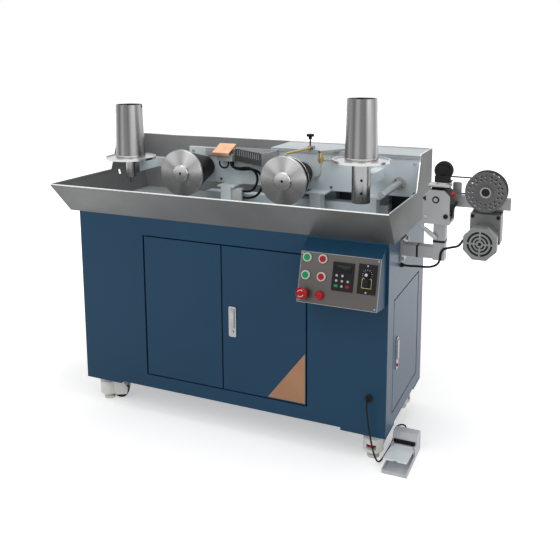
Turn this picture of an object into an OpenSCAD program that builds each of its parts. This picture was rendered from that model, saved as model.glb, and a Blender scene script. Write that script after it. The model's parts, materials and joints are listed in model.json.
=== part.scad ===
// Wire drawing machine: a sheet steel cabinet on levelling castors with a stainless splash tray,
// two stepped drawing capstans, a die box, two take-up cones, a control console and a side winder.
// Millimetres. Drawn with x from the cabinet's middle, y back from its front face, z up from the floor.

/* [Cabinet] */
// Width of the cabinet
cab_w = 1260; // [1200:10:1400]
// Depth of the cabinet
cab_d = 510; // [500:5:600]
// Height of the cabinet from its underside to the tray
cab_h = 685; // [660:5:760]
// Thickness of the cabinet's sheet
sheet = 2; // [1.5:0.5:3]
// Depth of the folded lips round the doorways
lip_d = 20; // [18:1:30]

/* [Doors] */
// Width of the front panels beside the doorway that the two doors share
front_panel_w = 291; // [285:1:350]
// Height of the strip over the front doorway
doorway_head = 69; // [60:1:120]
// Height of the front doorway's sill over the cabinet's underside
doorway_sill = 52; // [40:1:80]
// Width of the stiles beside the side doorway
side_stile_w = 73; // [55:1:110]
// Height of the strip over the side doorway
side_head = 218; // [200:1:260]
// Height of the side doorway's sill over the cabinet's underside
side_sill = 48; // [40:1:80]
// Gap round each door
door_gap = 5; // [5:0.5:7]
// Thickness of a door with its folded edges
door_t = 16; // [16:1:20]
// Distance of a door's hinge axis from its face and edge
hinge_in = 5; // [5:0.25:6]
// Diameter of a hinge pin
hinge_pin_d = 5; // [4:0.5:5]
// Width of a latch
latch_w = 30; // [24:1:36]
// Height of a latch
latch_h = 116; // [90:1:130]
// Height of a latch's middle over the cabinet's underside
latch_up = 328; // [280:1:360]
// Distance of a latch's middle from the free edge of its door
latch_in = 42; // [30:1:60]
// How far a latch stands out of its door
latch_proud = 4; // [3:0.5:6]

/* [Tray] */
// Thickness of the tray's sheet
tray_t = 2; // [1.5:0.5:3]
// How far the tray's floor passes the cabinet on the left
tray_left = 43; // [20:1:60]
// How far the tray's floor passes the cabinet on the right
tray_right = 17; // [10:1:30]
// How far the tray's floor passes the cabinet at the back
tray_back = 28; // [20:1:40]
// Height of the tray's rim over its underside
rim_h = 115; // [95:1:130]
// Flare of the front wall
front_flare = 80; // [50:1:90]
// Flare of the left wall
left_flare = 29; // [15:1:40]
// Depth of the folded hem along the rim
hem_h = 8; // [6:1:12]
// Rise of the back wall and the end cheeks over the rim
cheek_h = 133; // [100:1:150]
// Distance of a cheek's foot behind the cabinet's front
cheek_y = 302; // [260:1:320]
// How far a cheek's front edge leans back
cheek_lean = 53; // [20:1:70]
// Width and height of the wire inlet in the left wall
inlet_size = [13, 20];

/* [Drawing head] */
// Distance of the capstan plate's face behind the cabinet's front
plate_y = 343; // [335:1:360]
// Thickness of the capstan plate
plate_t = 12; // [10:1:16]
// Height of the capstan plate's lower edge over the tray's underside
plate_up = 89; // [80:1:95]
// Height of the capstan plate's right part
plate_h = 154; // [150:1:165]
// How much lower the capstan plate's left part is
plate_step = 13; // [8:1:16]
// Left end of the capstan plate
plate_left = -330; // [-345:1:-320]
// Left end of the drive housing
housing_left = 45; // [35:1:60]
// Thickness of the drive housing's top sheet
lid_t = 2; // [2:0.5:3]
// How far the top sheet passes the capstan plate's face
lid_over = 4; // [3:0.5:8]
// Width of a support post
post_w = 45; // [36:1:50]
// Distance of the support posts' middle behind the cabinet's front
post_y = 300; // [290:1:304]
// Thickness of the flanges on the posts
post_flange_t = 6; // [5:1:10]
// Width of the flanges on the posts
post_flange_w = 76; // [60:1:90]
// Height of the base rail
rail_h = 43; // [30:1:55]
// Depth of the base rail
rail_d = 50; // [40:1:60]

/* [Capstans] */
// Distance of the left capstan's axis left of the middle
left_capstan_x = 253; // [245:1:262]
// Distance of the right capstan's axis right of the middle
right_capstan_x = 180; // [174:1:186]
// Height of the capstan axes over the tray's underside
capstan_up = 151; // [148:1:153]
// Distance of the front discs' face behind the cabinet's front
disc_y = 150; // [140:1:160]
// Diameter of a front disc
disc_d = 185; // [176:1:190]
// Thickness of a front disc
disc_t = 12; // [8:1:16]
// Diameter of a disc's boss
boss_d = 66; // [50:1:80]
// Height of a disc's boss
boss_h = 8; // [5:1:12]
// Diameter of a stepped cone's largest step
cone_big_d = 170; // [160:1:174]
// Diameter of a stepped cone's smallest step
cone_small_d = 88; // [76:1:90]
// Number of steps on a cone
cone_steps = 13; // [9:1:15]
// Gap between a stepped cone and the capstan plate
cone_gap = 6; // [5:1:10]
// Diameter of a capstan's shaft
capstan_shaft_d = 30; // [24:1:40]
// Diameter of the left capstan's bearing housing
bearing_boss_d = 60; // [52:1:64]
// Length of the left capstan's bearing housing
bearing_boss_l = 60; // [50:1:80]

/* [Die box] */
// Height of the die box
die_h = 50; // [44:1:52]
// Height of the die box's rim over the tray's underside
die_up = 237; // [236:1:240]
// Wall of the die box
die_wall = 4; // [3:0.5:5]
// Thickness of the comb plate
comb_t = 3; // [2:0.5:4]
// Number of slots in the comb plate
comb_slots = 12; // [9:1:12]
// Width of a comb slot
comb_slot_w = 7; // [5:0.5:8]
// Height of a comb slot
comb_slot_h = 24; // [18:1:28]
// Pitch of the comb slots
comb_pitch = 13; // [12:0.25:13.5]
// Depth of the bar that carries the left end of the die box
die_bar_d = 16; // [14:1:18]
// Height of that bar
die_bar_h = 30; // [26:1:31]

/* [Take-up cones] */
// Diameter of a take-up cone at its foot
take_d = 117; // [100:1:130]
// Diameter of a take-up cone at its rim
take_top_d = 102; // [90:1:112]
// Height of a take-up cone with its flange
take_h = 218; // [180:1:240]
// Wall of a take-up cone
take_wall = 4; // [3:0.5:6]
// Diameter of a take-up flange
take_flange_d = 200; // [170:1:210]
// Thickness of a take-up flange
take_flange_t = 5; // [4:0.5:7]
// Height of the lip round a take-up flange
take_lip_h = 4; // [3:0.5:6]
// Diameter of a take-up spindle
take_shaft_d = 25; // [20:1:28]
// Gap under a take-up flange
take_gap = 6; // [5:0.5:10]
// Distance of the right take-up cone's axis from the cabinet's right side
right_take_in = 140; // [130:1:160]
// Distance of the right take-up cone's axis behind the cabinet's front
right_take_y = 120; // [100:1:135]
// Height of the right take-up flange over the tray's underside
right_take_up = 246; // [235:1:260]
// Diameter of the right take-up bearing
right_bearing_d = 65; // [50:1:80]
// Length of the right take-up bearing
right_bearing_l = 137; // [110:1:140]
// Distance of the left take-up cone's axis from the cabinet's left side
left_take_in = 129; // [115:1:140]
// Distance of the left take-up cone's axis behind the cabinet's front
left_take_y = 172; // [150:1:190]
// Height of the left take-up flange over the tray's underside
left_take_up = 193; // [185:1:205]
// Diameter of the left take-up hub
left_hub_d = 40; // [36:1:50]
// Length of the left take-up hub
left_hub_l = 68; // [60:1:72]
// Length of the left spindle's stud under its hub
left_stud_l = 21; // [15:1:30]

/* [Console] */
// Distance of the console from the front doorway
console_gap = 2; // [2:1:8]
// Width of the console
console_w = 279; // [275:1:284]
// Distance of the console's top edge under the tray
console_drop = 7; // [4:1:20]
// How far the console's face starts from the cabinet
console_out = 54; // [45:1:70]
// Fall of the console's top
console_fall = 33; // [20:1:45]
// Height of the console's face along its slope
face_h = 170.6; // [168:0.2:180]
// Lean of the console's face
face_lean = 16; // [10:1:20]
// Drop of the console's underside towards the cabinet
console_under = 16; // [5:1:25]
// Thickness of the console's face plate
face_t = 2; // [1.5:0.5:3]
// Diameter of a push button's bezel
bezel_d = 30; // [26:1:32]
// Height of a push button's bezel
bezel_h = 7; // [5:1:10]
// Diameter of a push button
button_d = 21; // [18:1:23]
// How far a push button stands over its bezel
button_h = 3; // [2:0.5:5]
// Diameter of the emergency stop's head
stop_d = 40; // [34:1:44]
// Height of the emergency stop over the face plate
stop_h = 35; // [28:1:40]
// Width and height of the inverter keypad
keypad_size = [72, 94];
// Width and height of the speed controller
speed_size = [62, 97];

/* [Winder] */
// Distance of the winder's middle plane behind the cabinet's front
winder_y = 180; // [170:1:190]
// Width of the winder's square tubes
tube_w = 40; // [36:1:44]
// Distance of the winder post's axis from the cabinet's side
post_out = 128; // [122:1:132]
// Height of the winder arm's middle over the cabinet's underside
arm_up = 623; // [600:1:635]
// Height of the traverse frame's foot over the winder arm's middle
traverse_up = 109; // [90:1:125]
// Width of the traverse frame
traverse_w = 91; // [86:1:96]
// Height of the traverse frame
traverse_h = 116; // [112:1:120]
// Thickness of the traverse frame's plates
traverse_plate_t = 8; // [6:1:10]
// Travel of the traverse each way
traverse_travel = 18; // [10:1:20]
// Diameter of the guide roller
roller_d = 62; // [52:1:64]
// Width of the guide roller
roller_w = 20; // [16:1:22]
// Distance of the spool's axis from the cabinet's side
spool_out = 278; // [272:1:284]
// Height of the spool's axis over the traverse frame's foot
spool_up = 117; // [112:1:122]
// Diameter of the spool's flanges
spool_d = 134; // [120:1:136]
// Width of the spool over its flanges
spool_w = 56; // [50:1:58]
// Diameter of the spool's barrel
barrel_d = 66; // [56:1:70]
// Thickness of a spool flange
spool_flange_t = 4; // [3:0.5:5]
// Diameter of the spool's shaft
spool_shaft_d = 20; // [16:1:22]
// Height of the crossbar
crossbar_h = 40; // [36:1:42]
// Thickness of the crossbar
crossbar_t = 20; // [14:1:24]
// Distance of the crossbar's end from the cabinet's side
crossbar_end = 353; // [346:1:360]
// Width of the gear head
gear_w = 100; // [90:1:102]
// Length of the gear head
gear_l = 60; // [50:1:64]
// Diameter of the motor's body
motor_d = 92; // [84:1:96]
// Length of the motor's body
motor_l = 76; // [60:1:90]
// Width across the flats of the fan cover
fan_w = 106; // [98:1:112]
// Length of the fan cover
fan_l = 34; // [26:1:40]
// Diameter of the round belts
belt_d = 5; // [4:0.5:6]
// Diameter of the belt pulleys' grooves
pulley_d = 52; // [44:1:54]

/* [Castors] */
// Height of a castor from the floor to its top plate
castor_h = 105; // [102:1:112]
// Thickness of the corner plates over the castors
corner_t = 10; // [8:1:14]
// Width of a corner plate
corner_w = 165; // [140:1:180]
// Depth of a corner plate
corner_d = 110; // [100:1:130]
// Distance of a castor's stem from the cabinet's sides
castor_in = 60; // [55:1:70]
// Diameter of a castor wheel
wheel_d = 62; // [56:1:62]
// Width of a castor wheel
wheel_w = 22; // [18:1:24]
// Trail of a castor wheel behind its stem
wheel_trail = 50; // [48:1:54]
// How far the wheels are lifted off the floor
wheel_lift = 2; // [1:0.5:4]
// Round body of each castor, across
housing_d = 72; // [66:1:74]
// Diameter of a levelling pad
pad_d = 44; // [36:1:46]
// Thickness of a levelling pad
pad_t = 10; // [8:1:12]
// Diameter of a levelling stud
stud_d = 12; // [10:1:14]

/* [Pedal] */
// Width of the foot pedal
pedal_w = 88; // [80:1:96]
// Length of the foot pedal
pedal_l = 200; // [190:1:210]
// Height of the foot pedal
pedal_h = 80; // [72:1:88]
// Diameter of the pedal's cord
cord_d = 6; // [5:0.5:7]

/* [Hidden] */
$fn = 48;

// Colours of the finishes
cabinet_blue = [0.15, 0.27, 0.38];
stainless = [0.52, 0.52, 0.52];
frame_blue = [0.75, 0.80, 0.84];
bright_steel = [0.72, 0.73, 0.74];
cone_black = [0.10, 0.10, 0.11];
copper = [0.85, 0.62, 0.42];
brass = [0.80, 0.65, 0.30];
hose_black = [0.06, 0.06, 0.06];
castor_cream = [0.86, 0.86, 0.80];
signal_red = [0.70, 0.05, 0.06];
signal_green = [0.05, 0.55, 0.28];
winder_grey = [0.60, 0.61, 0.61];
pedal_grey = [0.70, 0.73, 0.75];

// Radial clearance of a turning shaft in its bore
run_fit = 0.05;
// Gap between parts that touch only lightly
seat = 0.3;
// Overrun of a cut past the face that it opens
cut = 1;

// Levels
cab_z = castor_h + corner_t;
tray_z = cab_z + cab_h;
tray_top = tray_z + tray_t;
rim_z = tray_z + rim_h;
cheek_z = rim_z + cheek_h;
plate_z = tray_z + plate_up;
plate_top = plate_z + plate_h;
capstan_z = tray_z + capstan_up;
die_z = tray_z + die_up;
lid_z = plate_top + lid_t;
arm_z = cab_z + arm_up;
traverse_z = arm_z + traverse_up;
spool_z = traverse_z + spool_up;

// Sides of the cabinet and the tray
right = cab_w / 2;
// Sizes of the doorways
doorway_w = cab_w - 2 * front_panel_w;
doorway_h = cab_h - doorway_sill - doorway_head;
side_doorway_w = cab_d - 2 * side_stile_w;
side_doorway_h = cab_h - side_sill - side_head;
tray_x0 = -right - tray_left;
tray_x1 = right + tray_right;
tray_y1 = cab_d + tray_back;
// Level thickness of the flared sheets
front_t = tray_t * sqrt(pow(front_flare, 2) + pow(rim_h, 2)) / rim_h;
left_t = tray_t * sqrt(pow(left_flare, 2) + pow(rim_h, 2)) / rim_h;

// The console's face, measured down its slope and out from it
function face_out(down, out) = console_out + down * sin(face_lean) + out * cos(face_lean);
console_left = doorway_w / 2 + console_gap;
face_top_z = tray_z - console_drop - console_fall;
button_columns = [24, 80];
button_rows = [20, 79, 140];
stop_tip_d = stop_d - 12;

// The origin: the middle of the machine's box, on the floor
x_min = tray_x0 - left_flare;
x_max = right + crossbar_end;
y_min = -face_out(button_rows[2] + stop_tip_d / 2, face_t + stop_h);
y_max = tray_y1;
module at_origin() {
    translate([-(x_min + x_max) / 2, -(y_min + y_max) / 2, 0]) children();
}

// A box between two corners
module block(low, high) {
    translate(low) cube(high - low);
}

// A round bar between two points
module bar(from, to, d) {
    run = to - from;
    length = norm(run);
    translate(from) rotate([0, acos(run.z / length), atan2(run.y, run.x)]) cylinder(d = d, h = length);
}

// An outline in x and z, as thick as depth along y from y
module upright(y, depth) {
    translate([0, y + depth, 0]) rotate([90, 0, 0]) linear_extrude(depth) children();
}

// An outline in y and z, as wide as width along x from x
module sideways(x, width) {
    translate([x, 0, 0]) rotate([90, 0, 90]) linear_extrude(width) children();
}

// A turned shape whose axis runs along y
module along_y(place) {
    translate(place) rotate([-90, 0, 0]) children();
}

// A tube swept along points: each ring stands across the run of its neighbours
function unit(v) = v / norm(v);
function run_at(points, i) =
    unit(points[min(i + 1, len(points) - 1)] - points[max(i - 1, 0)]);
function across(run) = unit(cross(run, abs(run.z) < 0.9 ? [0, 0, 1] : [0, 1, 0]));
// The side direction carried from ring to ring, so that the tube doesn't twist
function carried(points, i) =
    i == 0 ? across(run_at(points, 0))
    : let (before = carried(points, i - 1), run = run_at(points, i))
      unit(before - run * (before * run));
module tube(points, d, sides = 8) {
    rings = [for (i = [0:len(points) - 1])
        let (run = run_at(points, i), u = carried(points, i), v = cross(run, u))
        for (k = [0:sides - 1])
            points[i] + d / 2 * (u * cos(360 * k / sides) + v * sin(360 * k / sides))];
    last = len(points) - 1;
    walls = [for (i = [0:last - 1]) for (k = [0:sides - 1])
        let (a = i * sides + k, b = i * sides + (k + 1) % sides)
        [a, b, b + sides, a + sides]];
    ends = [[for (k = [sides - 1:-1:0]) k], [for (k = [0:sides - 1]) last * sides + k]];
    // Facets are turned so that they face outwards
    polyhedron(rings, [for (f = concat(walls, ends)) [for (k = [len(f) - 1:-1:0]) f[k]]], convexity = 8);
}

// Points of a smooth curve through a route's points
function curve_point(a, b, c, d, t) =
    0.5 * (2 * b + (c - a) * t + (2 * a - 5 * b + 4 * c - d) * t * t + (3 * b - a - 3 * c + d) * t * t * t);
function smooth(route, steps) =
    let (last = len(route) - 1)
    concat([for (i = [0:last - 1]) for (k = [0:steps - 1])
        curve_point(route[max(i - 1, 0)], route[i], route[i + 1], route[min(i + 2, last)], k / steps)],
        [route[last]]);

// Cabinet

module left_wall() {
    color(cabinet_blue) at_origin()
        block([-right, 0, cab_z], [-right + sheet, cab_d, tray_z]);
}

module back_wall() {
    color(cabinet_blue) at_origin()
        block([-right + sheet, cab_d - sheet, cab_z], [right - sheet, cab_d, tray_z]);
}

// The front doorway
door_z0 = cab_z + doorway_sill;
door_z1 = door_z0 + doorway_h;

module front_panels() {
    color(cabinet_blue) at_origin() for (side = [0, 1]) mirror([side, 0, 0]) {
        block([doorway_w / 2, 0, cab_z], [right - sheet, sheet, tray_z]);
        block([doorway_w / 2, sheet, door_z0 - sheet], [doorway_w / 2 + sheet, lip_d, door_z1 + sheet]);
    }
}

// A strip over or under a doorway, with a folded lip that the hinge pins turn in
module rail(width, z0, z1, lip_z, pins) {
    difference() {
        union() {
            block([-width / 2, 0, z0], [width / 2, sheet, z1]);
            block([-width / 2, 0, lip_z], [width / 2, lip_d, lip_z + sheet]);
        }
        for (x = pins)
            translate([x, hinge_in, lip_z - cut])
                cylinder(d = hinge_pin_d + 2 * run_fit, h = sheet + 2 * cut);
    }
}

// Distance of a hinge pin from the middle of its doorway
front_pin = doorway_w / 2 - door_gap - hinge_in;
side_pin = side_doorway_w / 2 - door_gap - hinge_in;

module front_rails() {
    color(cabinet_blue) at_origin() {
        rail(doorway_w, door_z1, tray_z, door_z1, [-front_pin, front_pin]);
        rail(doorway_w, cab_z, door_z0, door_z0 - sheet, [-front_pin, front_pin]);
    }
}

// The side doorway, drawn as a front and turned to the right side
side_z0 = cab_z + side_sill;
side_z1 = side_z0 + side_doorway_h;
module on_right_side() {
    translate([right, cab_d / 2, 0]) rotate([0, 0, 90]) children();
}

module side_stiles() {
    color(cabinet_blue) at_origin() on_right_side() for (side = [0, 1]) mirror([side, 0, 0]) {
        block([side_doorway_w / 2, 0, cab_z], [cab_d / 2, sheet, tray_z]);
        block([side_doorway_w / 2, sheet, side_z0 - sheet],
              [side_doorway_w / 2 + sheet, lip_d, side_z1 + sheet]);
    }
}

module side_rails() {
    color(cabinet_blue) at_origin() on_right_side() {
        rail(side_doorway_w, side_z1, tray_z, side_z1, [side_pin]);
        rail(side_doorway_w, cab_z, side_z0, side_z0 - sheet, [side_pin]);
    }
}

module cabinet_floor() {
    color(cabinet_blue) at_origin() {
        block([-right + sheet, sheet, cab_z], [right - sheet, cab_d - sheet, cab_z + sheet]);
        for (x = [-right, right - corner_w], y = [0, cab_d - corner_d])
            block([x, y, castor_h], [x + corner_w, y + corner_d, cab_z]);
    }
}

// A door leaf: a folded pan with its hinge on the left, its face at y = 0 and its foot at z = 0
module door_leaf(width, height) {
    pin_block = hinge_in + hinge_pin_d;
    pin_h = door_gap + 2 * sheet;
    difference() {
        linear_extrude(height) {
            translate([hinge_in, 0]) square([width - hinge_in, door_t]);
            translate([0, hinge_in]) square([width, door_t - hinge_in]);
            translate([hinge_in, hinge_in]) circle(r = hinge_in);
        }
        translate([sheet, sheet, sheet]) cube([width - 2 * sheet, door_t, height - 2 * sheet]);
    }
    for (z = [sheet / 2, height - pin_block - sheet / 2])
        translate([sheet / 2, sheet / 2, z]) cube([pin_block, pin_block, pin_block]);
    for (z = [-pin_h, height - sheet / 2])
        translate([hinge_in, hinge_in, z]) cylinder(d = hinge_pin_d, h = pin_h + sheet / 2);
}

leaf_w = doorway_w / 2 - 1.5 * door_gap;
leaf_h = doorway_h - 2 * door_gap;
leaf_foot = [-doorway_w / 2 + door_gap, 0, door_z0 + door_gap];

module left_door() {
    color(cabinet_blue) at_origin() translate(leaf_foot) door_leaf(leaf_w, leaf_h);
}

module right_door() {
    color(cabinet_blue) at_origin() mirror([1, 0, 0]) translate(leaf_foot) door_leaf(leaf_w, leaf_h);
}

module side_door() {
    color(cabinet_blue) at_origin() on_right_side() mirror([1, 0, 0])
        translate([-side_doorway_w / 2 + door_gap, 0, side_z0 + door_gap])
            door_leaf(side_doorway_w - 2 * door_gap, side_doorway_h - 2 * door_gap);
}

// A flush latch: a round-ended frame with a lever in its recess, its back on the face at y = 0
module latch(x, z) {
    end = latch_w / 5;
    rim = latch_w / 8;
    lever_w = latch_w - 3 * rim;
    translate([x, 0, z]) upright(-latch_proud, latch_proud) {
        square([latch_w - 2 * end, latch_h], center = true);
        for (s = [-1, 1]) translate([s * (latch_w / 2 - end), 0]) {
            square([2 * end, latch_h - 2 * end], center = true);
            for (t = [-1, 1]) translate([0, t * (latch_h / 2 - end)]) circle(r = end);
        }
    }
    translate([x, -latch_proud - rim / 2, z + latch_h / 8])
        cube([lever_w, rim, latch_h * 0.6], center = true);
}

module door_latch() {
    color(bright_steel) at_origin() latch(door_gap / 2 + latch_in, cab_z + latch_up);
}

module side_latch() {
    color(bright_steel) at_origin() on_right_side()
        latch(-side_doorway_w / 2 + door_gap + latch_in, side_z0 + side_doorway_h / 2);
}

// Tray

// A flared sheet's section with its hem: the foot at the origin, leaning to the left
module flared_section(flare, level_t) {
    hem_run = flare * (rim_h - hem_h) / rim_h;
    polygon([[0, 0], [-flare, rim_h], [-flare + 2 * level_t, rim_h], [-hem_run + 2 * level_t, rim_h - hem_h],
             [-hem_run + level_t, rim_h - hem_h], [level_t, 0]]);
}

module tray_floor() {
    color(stainless) at_origin()
        block([tray_x0 + left_t, front_t, tray_z], [tray_x1 - tray_t, tray_y1 - tray_t, tray_top]);
}

module tray_front_wall() {
    hem_run = left_flare * (rim_h - hem_h) / rim_h;
    color(stainless) at_origin() intersection() {
        translate([0, 0, tray_z]) sideways(tray_x0 - left_flare, tray_x1 - tray_t - tray_x0 + left_flare)
            flared_section(front_flare, front_t);
        // The left end follows the inner face of the left wall and its hem
        upright(-2 * front_flare, 3 * front_flare)
            polygon([[tray_x0 + left_t, tray_z], [tray_x0 + left_t - hem_run, rim_z - hem_h],
                     [tray_x0 + 2 * left_t - hem_run, rim_z - hem_h],
                     [tray_x0 + 2 * left_t - left_flare, rim_z], [tray_x1, rim_z], [tray_x1, tray_z]]);
    }
}

// A cheek's outline over the rim, in y and z
module cheek_outline(back) {
    polygon([[cheek_y, rim_z], [cheek_y + cheek_lean, cheek_z], [back, cheek_z], [back, rim_z]]);
}

module tray_end_walls() {
    inlet_y = plate_y + plate_t;
    color(stainless) at_origin() {
        difference() {
            union() {
                intersection() {
                    translate([tray_x0, -front_flare, tray_z]) rotate([90, 0, 180]) mirror([1, 0, 0])
                        linear_extrude(tray_y1 - tray_t + front_flare) flared_section(left_flare, left_t);
                    sideways(x_min, 2 * left_flare)
                        polygon([[0, tray_z], [-front_flare, rim_z], [tray_y1 - tray_t, rim_z],
                                 [tray_y1 - tray_t, tray_z]]);
                }
                sideways(x_min, tray_t) cheek_outline(tray_y1 - tray_t);
            }
            block([x_min - cut, inlet_y - inlet_size.x / 2, rim_z - hem_h - inlet_size.y],
                  [tray_x0 + left_flare, inlet_y + inlet_size.x / 2, rim_z - hem_h]);
        }
        sideways(tray_x1 - tray_t, tray_t) {
            polygon([[0, tray_z], [-front_flare, rim_z], [tray_y1, rim_z], [tray_y1, tray_z]]);
            cheek_outline(tray_y1);
        }
    }
}

module tray_back_wall() {
    color(stainless) at_origin() upright(tray_y1 - tray_t, tray_t)
        polygon([[tray_x0, tray_z], [x_min, rim_z], [x_min, cheek_z], [tray_x1 - tray_t, cheek_z],
                 [tray_x1 - tray_t, tray_z]]);
}

// Drawing head

inner_x1 = tray_x1 - tray_t;

module capstan_plate() {
    color(frame_blue) at_origin() difference() {
        union() {
            upright(plate_y, plate_t)
                polygon([[plate_left, plate_z], [inner_x1, plate_z], [inner_x1, plate_top],
                         [housing_left, plate_top], [housing_left, plate_top - plate_step],
                         [plate_left, plate_top - plate_step]]);
            along_y([-left_capstan_x, plate_y, capstan_z])
                cylinder(d = bearing_boss_d, h = plate_t + bearing_boss_l);
        }
        along_y([-left_capstan_x, plate_y - cut, capstan_z])
            cylinder(d = capstan_shaft_d + 2 * run_fit, h = plate_t + bearing_boss_l / 2 + cut);
        along_y([right_capstan_x, plate_y - cut, capstan_z])
            cylinder(d = capstan_shaft_d + 2 * run_fit, h = plate_t + 2 * cut);
    }
}

module drive_housing() {
    back = tray_y1 - tray_t;
    color(frame_blue) at_origin() {
        block([housing_left, plate_y + plate_t, plate_z], [inner_x1, back, plate_top]);
        block([housing_left, plate_y - lid_over, plate_top], [inner_x1, back, lid_z]);
        block([die_right + seat, plate_y - lid_over, plate_top - 3 * lid_over],
              [inner_x1, plate_y - lid_over + lid_t, plate_top]);
    }
}

// Middles of the support posts, right of the cabinet's middle
post_xs = [-127, 258, 478];
rear_post_y = plate_y + plate_t + 2 * rail_d;

module support_frame() {
    color(frame_blue) at_origin() {
        for (x = post_xs) {
            block([x - post_w / 2, post_y - post_w / 2, tray_top],
                  [x + post_w / 2, post_y + post_w / 2, plate_z - post_flange_t]);
            block([x - post_flange_w / 2, post_y - post_w / 2, plate_z - post_flange_t],
                  [x + post_flange_w / 2, plate_y + plate_t, plate_z]);
        }
        for (x = [post_xs[1], post_xs[2]])
            block([x - post_w / 2, rear_post_y, tray_top], [x + post_w / 2, rear_post_y + post_w, plate_z]);
        block([post_xs[0] - 3 * post_w, plate_y + plate_t, tray_top],
              [post_xs[2] + post_w, plate_y + plate_t + rail_d, tray_top + rail_h]);
    }
}

// Capstans

cone_l = plate_y - cone_gap - disc_y - disc_t;

module capstan_disc(x) {
    r = disc_d / 2;
    edge = 1.5;
    hole_r = 5;
    color(bright_steel) at_origin() along_y([x, disc_y, capstan_z]) rotate_extrude()
        polygon([[hole_r, -boss_h], [boss_d / 2 - edge, -boss_h], [boss_d / 2, edge - boss_h],
                 [boss_d / 2, 0],
                 [r - edge, 0], [r, edge], [r, disc_t - edge], [r - edge, disc_t], [hole_r, disc_t]]);
}

// The stepped cone and its shaft, turned in one piece
module capstan_cone(x, shaft_l) {
    step_l = cone_l / cone_steps;
    step_r = (cone_big_d - cone_small_d) / 2 / (cone_steps - 1);
    color(cone_black) at_origin() along_y([x, disc_y + disc_t, capstan_z]) rotate_extrude()
        polygon(concat([[0, 0]],
            [for (i = [0:cone_steps - 1]) for (end = [0, 1])
                [cone_big_d / 2 - i * step_r, (i + end) * step_l]],
            [[capstan_shaft_d / 2, cone_l], [capstan_shaft_d / 2, cone_l + shaft_l], [0, cone_l + shaft_l]]));
}

module left_capstan_disc() { capstan_disc(-left_capstan_x); }
module left_capstan_cone() { capstan_cone(-left_capstan_x, cone_gap + plate_t + bearing_boss_l / 2 - cut); }
module right_capstan_disc() { capstan_disc(right_capstan_x); }
module right_capstan_cone() { capstan_cone(right_capstan_x, cone_gap + plate_t - cut); }

// Die box

// The trough's plan: the back corners lie on the capstan plate, and the comb runs slantwise in front
die_left = -100;
die_right = 78;
comb_from = [die_left, plate_y - 28];
comb_to = [58, plate_y - 117];
die_side = [die_right, plate_y - 82];
comb_run = unit(comb_to - comb_from);
comb_l = norm(comb_to - comb_from);
comb_turn = atan2(comb_run.y, comb_run.x);
// The bar that carries the left end, and the hose block under the shield
die_bar_left = -244;
die_bar_z = die_z - 6 - die_bar_h;
hose_block = [[-175, 296, die_z - die_h - 2], [-105, 327, die_z - 25]];

// The inner corners of an outline whose walls have one thickness
function cross2(a, b) = a.x * b.y - a.y * b.x;
function inset(points, t) = [for (i = [0:len(points) - 1])
    let (n = len(points),
         before = unit(points[i] - points[(i + n - 1) % n]),
         after = unit(points[(i + 1) % n] - points[i]))
    points[i] + t * (after - before) / cross2(before, after)];

die_plan = [comb_from, comb_to, die_side, [die_right, plate_y], [die_left, plate_y]];

module die_box() {
    color(winder_grey) at_origin() {
        difference() {
            translate([0, 0, die_z - die_h]) linear_extrude(die_h) polygon(die_plan);
            translate([0, 0, die_z - die_h + die_wall])
                linear_extrude(die_h) polygon(inset(die_plan, die_wall));
            // The front is low, and the comb plate stands before it
            translate([comb_from.x, comb_from.y, die_z - comb_slot_h - die_wall]) rotate([0, 0, comb_turn])
                translate([2 * die_wall, -die_wall, 0]) cube([comb_l - 4 * die_wall, 3 * die_wall, die_h]);
        }
        block([die_bar_left, plate_y - die_bar_d, die_bar_z], [die_left, plate_y, die_bar_z + die_bar_h]);
        block(hose_block[0], [hose_block[1].x, plate_y - die_bar_d, hose_block[1].z]);
    }
}

module die_comb() {
    first = (comb_l - (comb_slots - 1) * comb_pitch) / 2;
    color(bright_steel) at_origin() translate([comb_from.x, comb_from.y, 0]) rotate([0, 0, comb_turn])
        upright(-comb_t, comb_t) difference() {
            translate([0, die_z - die_h]) square([comb_l, die_h]);
            for (i = [0:comb_slots - 1])
                translate([first + i * comb_pitch - comb_slot_w / 2, die_z - die_wall - comb_slot_h])
                    square([comb_slot_w, comb_slot_h]);
        }
}

// A bent copper sheet that leans forward over the hose block, on a foot that stands on the bar
module copper_shield() {
    shield_t = 4;
    x0 = -188;
    x1 = -113;
    high = [plate_y + 6, die_z + 9];
    low = [plate_y - 58, die_z - 21];
    foot_x = [-160, -140];
    foot_y = plate_y - die_bar_d / 2;
    fall = (high.y - low.y) / (high.x - low.x);
    foot_top = low.y + (foot_y - low.x) * fall + shield_t / 2;
    color(copper) at_origin() {
        sideways(x0, x1 - x0)
            polygon([low, high, high + [0, shield_t], low + [-shield_t, shield_t],
                     low + [-shield_t, -2 * shield_t],
                     low + [0, -2 * shield_t]]);
        block([foot_x[0], foot_y - shield_t, die_bar_z + die_bar_h],
              [foot_x[1], foot_y + shield_t, foot_top]);
    }
}

// Coolant

hose_d = 10;
thin_hose_d = 7;
// The pale two-way fitting on the left post
fitting_x = post_xs[0] + post_w / 2;
fitting_size = [44, 26, 52];
fitting_z = tray_top + 24;
// Nipples in the capstan plate for the thin hose and the valve's feed
nipple = [240, plate_y - 8, capstan_z - 16];
valve_xy = [282, plate_y - 68];
valve_z = [die_z - 31, plate_top + lid_t];
feed_boss = [328, plate_y - 8, plate_top - 30];

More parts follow.
